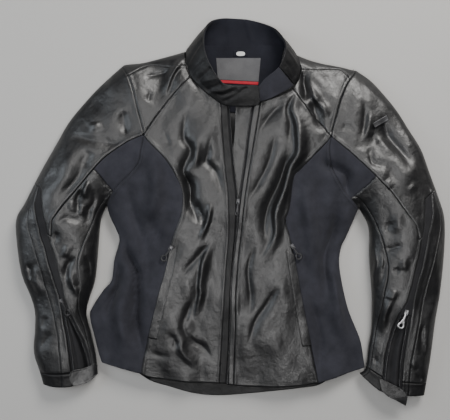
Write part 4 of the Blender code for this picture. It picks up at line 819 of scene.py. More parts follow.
# Share v at which each section crosses a seam: the first of its chords that the seam's line cuts
def seamShares(half, name, stations):
    seam = smooth(halves[half][name])
    v = np.linspace(0, 1, 81)
    found = []
    for line in sleevePlan(half, stations, np.tile(v, (len(stations), 1))):
        a, r = line[:-1, None], np.diff(line, axis=0)[:, None]
        c, s = seam[None, :-1] - a, np.diff(seam, axis=0)[None]
        turn = r[..., 0] * s[..., 1] - r[..., 1] * s[..., 0]
        turn = np.where(np.abs(turn) < 1e-9, 1e-9, turn)
        t = (c[..., 0] * s[..., 1] - c[..., 1] * s[..., 0]) / turn
        w = (c[..., 0] * r[..., 1] - c[..., 1] * r[..., 0]) / turn
        hits = np.argwhere((t >= 0) & (t <= 1) & (w >= 0) & (w <= 1))
        found.append(v[hits[0][0]] + t[tuple(hits[0])] / 80 if len(hits) else np.nan)
    return np.array(found)


# The seams' shares in every section, each clear of the one before, as the frame's sections have them
def ringShares(half, u):
    stations = np.linspace(0.02, 1, 50)
    armhole = smooth(halves[half]["armhole"])
    plan = sleevePlan(half, u, np.tile([0.0, 1.0], (len(u), 1)))
    width = np.linalg.norm(plan[:, 0] - plan[:, 1], axis=1)
    width = np.where(u == 0, runLength(armhole)[-1], width)
    limit = 1 - np.minimum(np.interp(u, [0.68, 0.80], [14, 5]) / width, 0.10)
    close = np.interp(u, [0.68, 0.80], [4, 1.5])
    columns, raw, before = [], {}, np.zeros(len(u))
    for name, least in seamOrder:
        shares = seamShares(half, name, stations)
        start = armholeStarts.get(name, shareOf(armhole, halves[half][name][0]))
        met = ~np.isnan(shares)
        raw[name] = np.interp(u, np.append(0, stations[met]), np.append(start, shares[met]))
        before = np.maximum(raw[name], before + least / width)
        columns.append(before)
    for k in range(len(columns) - 1, -1, -1):
        limit = columns[k] = np.minimum(columns[k], limit - close / width)
    return columns, width, raw


# Full height and dome width of sections; at the armhole they are the body's
def sleeveCrownAt(u, points):
    shares, heights = zip(*sleeveCrown)
    u = u[:, None] if u.ndim == 1 else u
    turn = smoothStep(np.clip(u / 0.3, 0, 1))
    height = blend(crownOfBody(points), np.interp(u, shares, heights), turn)
    return height, blend(shape["bodyDome"], shape["sleeveDome"], turn)


# The whole tube of one sleeve: sections, seam columns, plan; heights come after all the seams are known
def planSleeve(half):
    cells = sleeveCuts["rowCells"]
    u = np.concatenate([np.linspace(a, b, cells, endpoint=False)
                        for a, b in zip(cadRows[:-1], cadRows[1:])] + [[1.0]])
    coarse, width, _ = ringShares(half, cadRows)
    edges = [np.interp(u, cadRows, column) for column in coarse]
    width = np.interp(u, cadRows, width)
    rim, under = sleeveCuts["rim"], sleeveCuts["under"]
    ends = [np.zeros(len(u)), *edges, np.ones(len(u)), 1 - rim / width, rim / width, np.zeros(len(u))]
    kinds = ["rim"] + ["seam"] * 5 + ["rim"] + ["plain"] * 2 + ["rim"]
    columns, marks = [], [0]
    for k in range(9):
        span = np.abs(ends[k + 1] - ends[k])
        step = shape["topStep"] if k < 6 else shape["underStep"]
        length = float((span * width).mean()) if k < 6 else (rim, under, rim)[k - 6]
        shares = spaced(length, kinds[k], kinds[k + 1], step)
        columns += [blend(ends[k], ends[k + 1], share) for share in shares[:-1]]
        marks.append(len(columns))
    columns.append(ends[-1])
    v = np.stack(columns, axis=1)
    # The row at the gusset's end is moved so that it runs straight from its tip to the armhole
    middle, row = v[0], cadRows[int(np.argmin(np.abs(cadRows - sleeveCuts["gussetEnd"])))]
    strip = slice(marks[4], marks[5] + 1)
    path = sleevePlan(half, u, v[:, strip])
    tip = np.array(sleeveCuts["gussetTip"][half], float)
    off, way = path - tip, path[0, -1] - tip
    beyond = (way[0] * off[..., 1] - way[1] * off[..., 0]) * np.sign(path[0, 0, 0]) > 0
    crossing = np.maximum(u[beyond.argmax(axis=0)], sleeveCuts["gussetFoot"])
    corners = [0, middle[marks[3]], *middle[strip], 1.0]
    ends = np.interp(middle, corners, [row, row, *crossing, sleeveCuts["gussetFoot"]])
    under = np.arange(len(middle)) > marks[6]
    ends[under] = np.interp(middle[under], [0.7, 1], [row, sleeveCuts["gussetFoot"]])
    stations = np.stack([np.interp(u, [0, row, sleeveCuts["gussetReach"], 1],
                                   [0, end, sleeveCuts["gussetReach"], 1]) for end in ends], axis=1)
    v = np.stack([np.interp(stations[:, j], u, v[:, j]) for j in range(v.shape[1])], axis=1)
    plan = sleevePlan(half, stations, v)
    return {"half": half, "u": stations, "v": v, "plan": plan, "marks": marks, "width": width}


# The fine grid's row at the frame's own row nearest to a share
def rowAt(share):
    return int(np.argmin(np.abs(cadRows - share))) * sleeveCuts["rowCells"]


# The row where the diagonal seam meets the band's inner one
def meetingRow(half):
    columns, width, raw = ringShares(half, cadRows)
    meets = (cadRows > sleeveCuts["bandStart"]) & (raw["diagonal"] < columns[2] + 7.5 / width)
    return int(np.argmax(meets)) * sleeveCuts["rowCells"] if meets.any() else len(cadRows) * 100


# Names each strip of the tube, between two seam columns, along its rows
def sleeveMasks(sleeve):
    rows, marks = len(sleeve["u"]) - 1, sleeve["marks"]
    gusset, band, slit = [rowAt(sleeveCuts[key]) for key in ("gussetEnd", "bandStart", "zipStart")]
    meet, i = meetingRow(sleeve["half"]), np.arange(rows)
    names = np.empty((rows, 9), object)
    names[:, 0] = names[:, 8] = np.where(i < band, "sleeveUpper", "sleeveBack")
    names[:, 1] = np.where(i < band, "sleeveUpper", "sleeveOuter")
    names[:, 2] = np.where(i < band, "sleeveUpper", np.where(i < slit, "sleeveBand", "cuffGusset"))
    names[:, 3] = np.where(i < meet, "sleeveUpper", "sleeveFront")
    names[:, 4] = np.where(i < gusset, "underarmGusset", "sleeveFront")
    names[:, 5] = names[:, 6] = "sleeveInner"
    names[:, 7] = "sleeveBack"
    names[lastRow:, [0, 1, 3, 4, 5, 6, 7, 8]] = "cuffBand"
    return names[:, np.repeat(np.arange(9), np.diff(marks))]


sleeves = {half: planSleeve(half) for half in halves}
print("sleeve plans:", [sleeves[half]["plan"].shape for half in sleeves])


# Seams along a sleeve: column, first and last row, side of the raised edge, its stitch rows
def sleeveSeams(half):
    gusset, band = rowAt(sleeveCuts["gussetEnd"]), rowAt(sleeveCuts["bandStart"])
    return [(1, band, lastRow, 1, (1.6, 5.5)), (2, band, lastRow, -1, (1.6, 4.6)),
            (3, band, lastRow, 1, (1.6, 4.6)), (4, 0, meetingRow(half), -1, (1.6, 5.5)),
            (5, gusset, lastRow, 1, (1.6, 5.0))]


for half, turn in turns.items():
    plan, marks = sleeves[half]["plan"], sleeves[half]["marks"]
    seams += [(plan[start:None if end == lastRow else end + 1, marks[column]], turn * side, stitchRows)
              for column, start, end, side, stitchRows in sleeveSeams(half)]
    seams += [(plan[rowAt(sleeveCuts["gussetEnd"]), marks[4]:marks[5] + 1], -turn, (1.6, 5.0)),
              (plan[lastRow, :marks[6] + 1], -turn, (1.6, 3.4)),
              (plan[0, :marks[6] + 1], bothSides, (1.6, 5.0))]


bodyRows = 153   # a multiple of 3


# Sets a curve's two end points
def withEnds(curve, first, last):
    curve[0], curve[-1] = first, last
    return curve


# The plans of both halves of the body, and their seams
bodies = {}
for half, drop in (("right", (-72, 205)), ("left", (108, 200))):
    curves = {name: smooth(table) for name, table in halves[half].items()}
    ring, marks = sleeves[half]["plan"][0], sleeves[half]["marks"]
    rows = np.linspace(0, 1, bodyRows + 1)
    princess = withEnds(along(curves["princess"], rows), curves["princess"][0], ring[marks[4]])
    edge = withEnds(along(curves["bodyEdge"], rows), curves["bodyEdge"][0], ring[marks[6]])
    yokeSeam = withEnds(curves["yokeSeam"].copy(), princess[-1], curves["yokeSeam"][-1])
    armhole = ring[marks[1]:marks[4] + 1][::-1]
    shoulderSeam = smooth([tuple(armhole[-1])] + halves[half]["shoulderSeam"])
    frontEdge, turn = along(curves["frontEdge"], rows), turns[half]
    bodies[half] = {"curves": curves, "ring": ring, "marks": marks, "princess": princess, "edge": edge,
                    "frontEdge": frontEdge, "stripEdge": along(curves["stripEdge"], rows),
                    "yokeSeam": yokeSeam, "armhole": armhole, "shoulderSeam": shoulderSeam, "drop": drop,
                    "seams": [(princess, -turn, (1.6, 5.5)), (yokeSeam, -turn, (1.6, 5.5)),
                              (shoulderSeam, -turn, (1.6, 5.0)), (frontEdge, turn, (1.8, 4.6))]}
    seams += bodies[half]["seams"]
print("seams planned:", len(seams))

# Sleeve pieces: node and finish
sleevePieces = {
    "sleeveUpper": ("sleeve_upper", "leather"),
    "sleeveBack": ("sleeve_back", "leather"),
    "sleeveOuter": ("sleeve_outer", "leather"),
    "sleeveFront": ("sleeve_front", "leather"),
    "sleeveInner": ("sleeve_inner", "leather"),
    "sleeveBand": ("sleeve_band", "bandCloth"),
    "underarmGusset": ("underarm_gusset", "softshell"),
    "cuffGusset": ("cuff_gusset", "bandCloth"),
    "cuffBand": ("cuff_band", "darkLeather"),
}


# A sleeve's height has the formula of the body's, with the sleeve's crown and dome
def sleeveHeight(u, plan, sewn=True):
    return topHeight(plan, *sleeveCrownAt(u, plan), sewn)


# Across the cuff's gusset: share of its width and depth below the leather, for the open right cuff
# and the half closed left one
gussetFolds = {
    "right": [(0, 0), (0.12, 1.5), (0.25, 3.5), (0.42, 0.5), (0.55, 2.5), (0.68, 12.0), (0.85, 13.0),
              (0.95, 6.0), (1, 1)],
    "left": [(0, 0.5), (0.15, 5.0), (0.32, 0.5), (0.48, 3.0), (0.6, 9.0), (0.75, 9.0), (0.88, 1.5),
             (1, 0.5)],
    "growth": 0.08,   # share of the sleeve over which the folds reach their depth
}


# Pleats of the gusset, growing from the slit's top to the cuff
def foldGusset(sleeve, grid):
    folded, marks = grid.copy(), sleeve["marks"]
    columns = slice(marks[2], marks[3] + 1)
    v, u = sleeve["v"][:, columns], sleeve["u"][:, columns]
    share = (v - v[:, :1]) / (v[:, -1:] - v[:, :1])
    depth = np.interp(share, *zip(*gussetFolds[sleeve["half"]]))
    folded[:, columns, 2] -= depth * np.clip((u - sleeveCuts["zipStart"]) / gussetFolds["growth"], 0, 1)
    return folded


for half, sleeve in sleeves.items():
    plan, marks = sleeve["plan"], sleeve["marks"]
    top = marks[6] + 1
    z = np.empty(plan.shape[:2])
    z[:, :top] = sleeveHeight(sleeve["u"][:, :top], plan[:, :top])
    z[:, top:-1] = underHeight(plan[:, top:-1])
    z[:, -1] = z[:, 0]
    sleeve["grid"] = grid = np.dstack([plan, z])
    rows, columns = z.shape
    cells = cellsOf(rows, columns)
    upper = (np.arange((rows - 1) * (columns - 1)) % (columns - 1) < marks[6]).nonzero()[0]
    cells = facing(grid, cells, True, upper)
    cells = np.where(cells % columns == columns - 1, cells - columns + 1, cells)
    points = grid.reshape(-1, 3)
    normals = normalsOf(points, cells)
    masks = sleeveMasks(sleeve).reshape(-1)
    side = half.capitalize()
    for name, (node, finish) in sleevePieces.items():
        own, lift = points, 0.0
        if name == "cuffGusset":
            own, lift = foldGusset(sleeve, grid).reshape(-1, 3), -sleeveCuts["gussetDepth"]
        clothPiece(name + side, own, cells[masks == name], finish, [f"{node}_{half}"],
                   lift, normals=normals)
print("sleeves made")


underSeams = (0.64, 0.34)   # shares of the armhole's underside where the back's pieces meet
step = shape["topStep"]
for half, body in bodies.items():
    ring, marks, princess, edge = body["ring"], body["marks"], body["princess"], body["edge"]
    side, shares = half.capitalize(), sleeves[half]["v"][0]
    panelFoot, yokeFoot = [marks[6] + int(np.argmin(np.abs(shares[marks[6]:] - share)))
                           for share in underSeams]

    # Side panel: from the princess seam over the rim to a seam underneath
    ringTop, ringUnder = ring[marks[4]:marks[6] + 1], ring[marks[6]:panelFoot + 1]
    across = runShare(ringTop)[:, None]
    upperPart = onTop(patch(blend(princess[0], edge[0], across), ringTop, princess, edge))
    hemReach = (princess[0] - edge[0]) * shape["underSeam"] / np.linalg.norm(princess[0] - edge[0])
    reach = blend(hemReach, ring[panelFoot] - edge[-1], np.linspace(0, 1, len(edge))[:, None])
    below = edge[:, None] + reach[:, None] * runShare(ringUnder)[None, :, None]
    below[-1] = ringUnder
    body["underSeam"] = np.vstack([below[:, -1], ring[panelFoot + 1:yokeFoot + 1]])
    grid = np.concatenate([upperPart, onGround(below[:, 1:])], axis=1)
    cells = facing(grid, cellsOf(*grid.shape[:2]), True, np.arange(4))
    clothPiece("sidePanel" + side, grid.reshape(-1, 3), cells, "softshell", [f"side_panel_{half}"])

    # Front, and the yoke above it
    top = np.vstack([body["yokeSeam"], body["curves"]["neckFront"][1:]])
    total = runLength(top)[-1]
    corner = runLength(body["yokeSeam"])[-1] / total
    yokeShares = spaced(corner * total, "seam", "seam", step)
    neckShares = spaced((1 - corner) * total, "plain", "seam", step)
    shares = np.concatenate([yokeShares * corner, corner + (1 - corner) * neckShares[1:]])
    top = withEnds(along(top, shares), princess[-1], body["frontEdge"][-1])
    hem = withEnds(along(body["curves"]["frontHem"], shares), princess[0], body["frontEdge"][0])
    body["front"] = patch(hem, top, princess, body["frontEdge"])
    gridPiece("front" + side, onTop(body["front"]), "leather", f"front_{half}")
    armhole = body["armhole"]
    neck = withEnds(along(body["curves"]["neckSide"], np.linspace(0, 1, len(armhole))),
                    top[len(yokeShares) - 1], body["shoulderSeam"][-1])
    seam = withEnds(along(body["shoulderSeam"], yokeShares), armhole[-1], neck[-1])
    yoke = patch(top[:len(yokeShares)], seam, armhole, neck)
    gridPiece("frontYoke" + side, onTop(yoke), "leather", f"front_yoke_{half}")

    # Back yoke's end, from the shoulder seam over the rim to the seam underneath
    strip, ringUnder = ring[:marks[1] + 1][::-1], ring[yokeFoot:][::-1]
    rim = withEnds(along(body["curves"]["shoulder"], yokeShares), ring[0], body["curves"]["shoulder"][-1])
    foot = blend(ring[yokeFoot], np.array(body["drop"], float), yokeShares[:, None])
    upperEnd = onTop(patch(seam, rim, strip, blend(seam[-1], rim[-1], runShare(strip)[:, None])))
    body["neckColumn"] = blend(rim[-1], foot[-1], runShare(ringUnder)[:, None])
    body["foot"] = foot
    lowerEnd = onGround(patch(rim, foot, ringUnder, body["neckColumn"]))
    body["backEnd"] = np.concatenate([upperEnd, lowerEnd[1:]])

    # Centre strip beside the front's edge
    # The right strip gets the leather's shaded copy, painted shade that makes it darker than the left placket
    node, finish = {"right": ("zip_strip_right", "darkLeather"), "left": ("placket_left", "leather")}[half]
    strip = beside(body["frontEdge"], body["stripEdge"], spaced(10, "plain", "plain", 1.1))
    gridPiece(camelName(node), onTop(strip), finish, node)

right, left = bodies["right"], bodies["left"]


# Several grids as one piece: points that fall together are shared
def joined(parts):
    points, cells, count = [], [], 0
    for grid, up, test in parts:
        points.append(grid.reshape(-1, 3))
        cells.append(facing(grid, cellsOf(*grid.shape[:2]), up, test) + count)
        count += len(points[-1])
    points = np.vstack(points)
    _, first, place = np.unique(np.round(points, 2), axis=0, return_index=True, return_inverse=True)
    return points[first], place.reshape(-1)[np.vstack(cells)]


# The back: the yoke's two ends and its middle as one piece, and the panel below
middleShares = spaced(180, "plain", "plain", 5)
seam = blend(right["foot"][-1], left["foot"][-1], middleShares[:, None])
neck = smooth([tuple(right["neckColumn"][0])] + backNeck + [tuple(left["neckColumn"][0])])
neck = along(neck, middleShares)
middle = onGround(patch(seam, neck, right["neckColumn"][::-1], left["neckColumn"][::-1]))
points, cells = joined([(right["backEnd"], True, np.arange(4)), (left["backEnd"], True, np.arange(4)),
                        (middle, False, None)])
clothPiece("backYoke", points, cells, "leather", ["back_yoke"])

sides = [body["underSeam"][::3] for body in (right, left)]
sides = [np.vstack([rows[:-1], body["foot"][:1]]) for rows, body in zip(sides, (right, left))]
top = along(np.vstack([right["foot"], seam[1:-1], left["foot"][::-1]]), np.linspace(0, 1, 90))
hem = along(smooth([tuple(sides[0][0])] + backHem + [tuple(sides[1][0])]), np.linspace(0, 1, 90))
gridPiece("backPanel", onGround(patch(hem, top, *sides)), "darkLeather", "back_panel", up=False)
print("body made")


# Pocket welts: a strip of each front beside its princess seam
pocket = {"low": 0.15, "high": 0.5, "thickness": 1.2, "stitchRow": 2.0}
weltWidth = shape["weltWidth"]
for half, body in bodies.items():
    low, high = [int(pocket[end] * (len(body["front"]) - 1)) for end in ("low", "high")]
    front = body["front"][low:high + 1]
    first = front[:, :1]
    reach = np.linalg.norm(front - first, axis=2).mean(axis=0)
    across = unit(front[:, int(np.argmax(reach > weltWidth))] - first[:, 0]) * weltWidth
    plan = first + across[:, None] * spaced(weltWidth, "seam", "seam", 2)[None, :, None]
    grid = onTop(plan, False)
    grid[..., 2] -= groove(weltWidth - np.linalg.norm(plan - first, axis=2), pocket["stitchRow"])
    gridPiece(f"pocketWelt{half.capitalize()}", grid, "leather", f"pocket_welt_{half}",
              shape["seamGap"] + pocket["thickness"], pocket["thickness"])


# Front zip: tapes beside the centre strips, and the storm flap behind the open top
zipTape = {"thickness": 0.9, "depth": 2.0, "hidden": 5.0, "shown": 4.0, "cuffInset": 0.8, "cuffDepth": 0.8}
stormFlap = {
    "free": [(8, 190), (7, 156), (5, 130), (2, 101), (1, 73), (4, 41), (8, 18)],
    "sewn": [(47, 190), (42, 156), (35, 130), (29, 101), (24, 73), (18, 41), (14, 18)],
    "depth": 4.0, "thickness": 1.2, "hem": 0.5, "hemWidth": 5.0, "stitchRow": 3.4,
}
tapeEdges = []
for half, body, other in (("right", right, left), ("left", left, right)):
    across = unit(body["frontEdge"] - body["stripEdge"])
    gap = np.linalg.norm(body["stripEdge"] - other["stripEdge"], axis=1, keepdims=True)
    shown = np.minimum(zipTape["shown"], gap / 2 - shape["seamGap"])
    inner, outer = body["stripEdge"] + across * zipTape["hidden"], body["stripEdge"] - across * shown
    grid = onTop(beside(inner, outer, np.linspace(0, 1, 8)))
    grid[..., 2] -= zipTape["depth"]
    gridWall(f"frontZipTape{half.capitalize()}", grid, "zip_tape", f"front_zip_tape_{half}",
             zipTape["thickness"])
    tapeEdges.append((grid[:, -1], grid[:, -2]))

flapEdges = [along(smooth(stormFlap[key]), np.linspace(0, 1, 80)) for key in ("free", "sewn")]
plan = beside(*flapEdges, spaced(36, "seam", "plain", 2.4))
d = np.linalg.norm(plan - plan[:, :1], axis=2)
grid = onTop(plan, False)
grid[..., 2] += (stormFlap["hem"] * border(d, stormFlap["hemWidth"], 0.5)
                 - groove(d, stormFlap["stitchRow"]) - stormFlap["depth"])
gridPiece("stormFlap", grid, "leather", "storm_flap", thickness=stormFlap["thickness"])

cuffEdges = []
for half, sleeve in sleeves.items():
    u, marks, width = sleeve["u"][:, 0], sleeve["marks"], sleeve["width"]
    rows = slice(rowAt(sleeveCuts["zipStart"]), len(u))
    for side, column, turn in (("Outer", 2, 1), ("Inner", 3, -1)):
        v, w = sleeve["v"][rows], width[rows][:, None]
        gap = (v[:, marks[3]] - v[:, marks[2]])[:, None] * w
        last = np.minimum(zipTape["shown"] + 1, gap / 2 - shape["seamGap"])
        steps = blend(zipTape["cuffInset"], last, np.linspace(0, 1, 6)[None])
        plan = sleevePlan(half, u[rows], v[:, marks[column]][:, None] + turn * steps / w)
        grid = np.dstack([plan, sleeveHeight(u[rows], plan, False) - zipTape["cuffDepth"]])
        gridWall(f"cuffTape{side}{half.capitalize()}", grid, "zip_tape",
                 f"cuff_tape_{side.lower()}_{half}", zipTape["thickness"])
        cuffEdges.append((half, grid[:, -1], grid[:, -2]))
print("zips laid")


# Collar: each row is a section, x, y, z of its seam and then of its top edge
collarSections = [
    (50, 192, 53, 50, 207, 58), (46, 189, 53, 46, 222, 62), (20, 187, 52, 22, 222, 64),
    (-12, 190, 48, -8, 224, 64), (-33, 203, 48, -20, 233, 65), (-54, 221, 46, -34, 254, 65),
    (-71, 242, 42, -45, 280, 64), (-79, 266, 34, -48, 300, 62), (-81, 284, 24, -47, 317, 56),
    (-80, 294, 13, -43, 331, 42), (-74, 300, 4, -38, 340, 30), (-58, 302, 0.4, -30, 347, 18),
    (-34, 302, 0, -14, 352, 9), (-4, 302, 0, 5, 352, 6), (30, 302, 0, 30, 350, 6),
    (62, 302, 0, 56, 343, 10), (92, 302, 0.4, 77, 332, 20), (107, 299, 4, 88, 318, 34),
    (115, 290, 13, 94, 304, 47), (120, 276, 25, 96, 290, 57), (123, 258, 36, 93, 277, 62),
    (120, 243, 42, 89, 266, 64), (111, 227, 45, 84, 255, 65),
]
collarEnd = [
    (110, 225, 46, 83, 254, 65), (93, 214, 48, 74, 246, 64), (70, 202, 49, 58, 234, 60),
    (53, 197, 49, 46, 220, 57), (38, 194, 48, 32, 214, 55),
]
collarLook = {
    "columns": 205, "rows": 24, "endColumns": 40, "bulge": 1.6, "length": 560, "height": 40, "shown": 34,
    "liningFrom": 10 / 34, "liningThickness": 1.0,
    "stitchRow": 4.0, "edge": 0.4, "edgeWidth": 5.4, "edgeSlope": 0.4,
    # flat sizes in metres: width, least length
    "flat": (0.056, 0.56), "liningFlat": (0.056, 0.40), "endFlat": (0.042, 0.09),
    # wrinkles: height, half width, share of the length and of the height at both ends
    "wrinkles": [(-1.6, 4, 0.06, 0.85, 0.13, 0.25), (-1.4, 4, 0.10, 0.75, 0.17, 0.35),
                 (1.2, 4, 0.12, 0.9, 0.20, 0.3), (-1.8, 5, 0.18, 0.8, 0.22, 0.15),
                 (1.4, 4, 0.21, 0.85, 0.25, 0.3), (-1.8, 4, 0.25, 0.9, 0.27, 0.2),
                 (-1.3, 4, 0.29, 0.75, 0.31, 0.1), (-1.4, 5, 0.36, 0.2, 0.37, 0.9),
                 (-1.0, 6, 0.48, 0.8, 0.5, 0.3), (1.0, 7, 0.55, 0.8, 0.57, 0.2),
                 (-1.2, 5, 0.66, 0.9, 0.68, 0.3), (-1.5, 4, 0.84, 0.8, 0.87, 0.2),
                 (1.2, 4, 0.90, 0.85, 0.93, 0.25), (-1.4, 4, 0.955, 0.75, 0.975, 0.2)],
}


# Sections blended from seam to top edge, bowed outwards by bulge * sin(pi k), with wrinkles, a groove
# under the stitches beside both edges, and the seam's roll
def collarGrid(table, columns, rows, wrinkles=()):
    curve, look = smooth(table, 6), collarLook
    length = runLength(curve)[-1]
    sections = along(curve, spaced(length, "seam", "seam", length / columns))
    k = spaced(look["shown"], "seam", "seam", look["shown"] / rows)
    grid = between(sections[:, :3], sections[:, 3:], k)
    k = k[:, None]
    cells = facing(grid, cellsOf(*grid.shape[:2]), True, np.arange(4))
    normals = normalsOf(grid.reshape(-1, 3), cells).reshape(grid.shape)
    tall = np.linalg.norm(sections[:, 3:] - sections[:, :3], axis=1)[None]
    low, high = k * tall, (1 - k) * tall
    every = np.ones_like(low)
    out = look["bulge"] * np.sin(np.pi * k) * every
    share = runShare(sections)[None] * every
    size = np.array([look["length"], look["height"]])
    flat = np.dstack([share, k * every]) * size
    for height, width, *ends in wrinkles:
        gap = nearest(flat, np.reshape(ends, (2, 2)) * size, 3 * width)[0]
        out += height * np.exp(-(gap / width) ** 2) * np.clip(np.minimum(low, high) / 5, 0, 1)
    for d in (low, high):
        out -= groove(d, look["stitchRow"])
        out += look["edge"] * border(d, look["edgeWidth"], look["edgeSlope"])
    grid += normals * out[..., None]
    grid[..., 2] = np.maximum(grid[..., 2], 0)
    return grid, cells, share


grid, cells, share = collarGrid(collarSections, collarLook["columns"], collarLook["rows"],
                                collarLook["wrinkles"])
collarLine = grid
# The collar's outside gets the leather's shaded copy: painted shade
piece = gridWall("collarOuter", grid, "darkLeather", "collar", shape["wall"], cells)
declareStrip(piece, *collarLook["flat"], ["backYoke", "frontRight"])
points = grid.reshape(-1, 3)
inside = cells[(share.reshape(-1)[cells].min(axis=1) > collarLook["liningFrom"])]
piece = addPiece("collarLining", *wallOf(points, normalsOf(points, cells), inside,
                                         collarLook["liningThickness"], -shape["wall"] - shape["seamGap"]),
                 "lining", ["collar_lining"])
declareStrip(piece, *collarLook["liningFlat"], ["collarOuter"])
grid, cells, share = collarGrid(collarEnd, collarLook["endColumns"], collarLook["rows"])
piece = gridWall("collarEndLeft", grid, "softshell", "collar_end_left", shape["wall"], cells)
declareStrip(piece, *collarLook["endFlat"], ["frontLeft"])
print("collar made")


# Neck lining, label, size tag and hem facing lie flat on the back's inside. Each has its node, finish,
# height of its underside, thickness, lower and upper line, and its size along and up
floor = shape["wall"] + shape["seamGap"]
insides = {
    "neckFacing": ("neck_facing", "lining", floor, 1.0, [(-24, 186), (20, 182), (70, 188)],
                   [(-62, 303), (22, 303), (98, 303.5)], 90, 110),
    "neckLabel": ("neck_label", "label", floor + 1.3, 0.8, [(-24, 242), (50, 238)],
                  [(-27, 281), (54, 281)], 70, 42),
    "labelEdge": ("label_edge", "label_edge", floor + 1.3, 0.8, [(-24, 236), (49, 232)],
                  [(-24, 241.5), (50, 237.5)], 30, 6),
    "sizeTag": ("size_tag", "lining", floor + 1.3, 0.6, [(4, 284), (30, 284)], [(4, 295), (30, 295)],
                26, 12),
}
for name, (node, finish, base, thickness, bottom, top, wide, tall) in insides.items():
    shares = spaced(wide, "seam", "seam", 2.5) if wide > 60 else np.linspace(0, 1, 14)
    rows = spaced(tall, "seam", "seam", 2.5) if tall > 40 else np.linspace(0, 1, 6)
    plan = between(*[along(smooth(line), shares) for line in (bottom, top)], rows)
    z = np.full(plan.shape[:2], base + thickness)
    if name == "neckFacing":
        z += 0.25 * np.sin(plan[..., 0] / 9 + plan[..., 1] / 23) * np.sin(plan[..., 1] / 14) + 0.15
    piece = gridWall(name, np.dstack([plan, z]), finish, node, thickness)
    if min(wide, tall) > 10:
        declareStrip(piece, min(wide, tall) * mm, 0, ["backPanel"])

# The size tag's bare face: an ellipse with fuller corners, cos(t)^0.75 and sin(t)^0.75
tag = {"centre": (17.5, 288.5), "half": (7.8, 3.9), "thickness": 0.5, "height": 2.8, "power": 0.75}
t, r = np.linspace(0, 2 * np.pi, 49)[:-1], np.linspace(0.04, 1, 6)
bend = [np.sign(wave) * np.abs(wave) ** tag["power"] for wave in (np.cos(t), np.sin(t))]
plan = np.dstack([r[:, None] * bend[k] * tag["half"][k] + tag["centre"][k] for k in (0, 1)])
points = np.dstack([plan, np.full(plan.shape[:2], floor + tag["height"])]).reshape(-1, 3)
ids = np.arange(len(points)).reshape(len(r), -1)
cells = np.stack([ids[:-1], ids[1:], np.roll(ids[1:], -1, axis=1), np.roll(ids[:-1], -1, axis=1)], axis=-1)
addPiece("sizeTagFace", *wallOf(points, np.tile([0.0, 0, 1], (len(points), 1)), cells.reshape(-1, 4),
                                tag["thickness"], gap=0.0), "tag")
hemFacing = {"from": 1, "to": 27, "thickness": 1.0, "ripple": 0.4, "rippleSize": 11}
edges = [along(smooth([(x, y + hemFacing[end]) for x, y in backHem]), np.linspace(0, 1, 110))
         for end in ("from", "to")]
plan = between(*edges, spaced(26, "seam", "plain", 2.5))
z = floor + hemFacing["thickness"] + hemFacing["ripple"] * np.sin(plan[..., 0] / hemFacing["rippleSize"]) ** 2
# The hem facing is shiny leather; it gets the leather's shaded copy, painted shade
gridPiece("hemFacing", np.dstack([plan, z]), "darkLeather", "hem_facing",
          thickness=hemFacing["thickness"])


# Cuff tabs and the sleeve's badge
cuffTab = {
    "upper": [(263, -294), (280, -301), (298, -310), (308, -317), (314, -327)],
    "lower": [(268, -317), (280, -327), (294, -334), (304, -340), (312, -344)],
    "thickness": 1.2, "bend": -324.0, "fallLength": 20.0, "fall": 5.0, "stitchRow": 2.5, "groove": 0.3,
}
rows = spaced(24, "seam", "seam", 2)
plan = between(*[along(smooth(cuffTab[key]), spaced(60, "seam", "seam", 2)) for key in ("lower", "upper")],
               rows)
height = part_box("cuff_tab_left")[1][2] / mm
beyond = np.clip((cuffTab["bend"] - plan[..., 1]) / cuffTab["fallLength"], 0, 1)
d = 24 * np.minimum(rows, 1 - rows)[:, None]
z = height - cuffTab["fall"] * beyond ** 2 - groove(d, cuffTab["stitchRow"], cuffTab["groove"])
gridPiece("cuffTabLeft", np.dstack([plan, z]), "leather", "cuff_tab_left",
          thickness=cuffTab["thickness"])

# The right cuff's tab lies over the opening, its free end rounded
tabRight = {"from": 0.957, "to": 1.0, "reach": 50, "round": 10, "rim": 2.0}
sleeve = sleeves["right"]
tall = 2 * rows - 1
u = blend(tabRight["from"], tabRight["to"], rows)
wide = np.interp(u, sleeve["u"][:, 0], sleeve["width"])[:, None]
start = 1 - (tabRight["reach"] - tabRight["round"] * (1 - np.sqrt(1 - tall ** 2)))[:, None] / wide
v = blend(start, 1 - tabRight["rim"] / wide, spaced(45, "seam", "seam", 2)[None])
plan = sleevePlan("right", u, v)
d = np.minimum((v - start) * wide, 12 * (1 - np.abs(tall))[:, None])
z = sleeveHeight(u, plan, False) - groove(d, cuffTab["stitchRow"], cuffTab["groove"])
gridPiece("cuffTabRight", np.dstack([plan, z]), "leather", "cuff_tab_right",
          shape["seamGap"] + cuffTab["thickness"], cuffTab["thickness"])

# A bare bar with a raised border, 0.35 * exp(-((inset - 0.9) / 0.5)^2) high
badge = {"centre": (265, 162), "size": (30, 9), "turn": 30, "lift": 1.4, "thickness": 0.8,
         "border": 0.35, "borderAt": 0.9, "borderWidth": 0.5, "section": 0.2}
cos, sin = np.cos(np.radians(badge["turn"])), np.sin(np.radians(badge["turn"]))
x, y = np.meshgrid(*[(spaced(size, "seam", "seam", 2) - 0.5) * size for size in badge["size"]])
plan = np.dstack([x * cos - y * sin, x * sin + y * cos]) + np.array(badge["centre"])
inset = np.minimum(badge["size"][0] / 2 - np.abs(x), badge["size"][1] / 2 - np.abs(y))
z = sleeveHeight(np.full(len(plan), badge["section"]), plan, False) + shape["seamGap"] + badge["lift"]
z += badge["border"] * np.exp(-((inset - badge["borderAt"]) / badge["borderWidth"]) ** 2)
gridWall("sleeveBadgeLeft", np.dstack([plan, z]), "badge", "sleeve_badge_left", badge["thickness"])
print("facings, tabs and badge made")


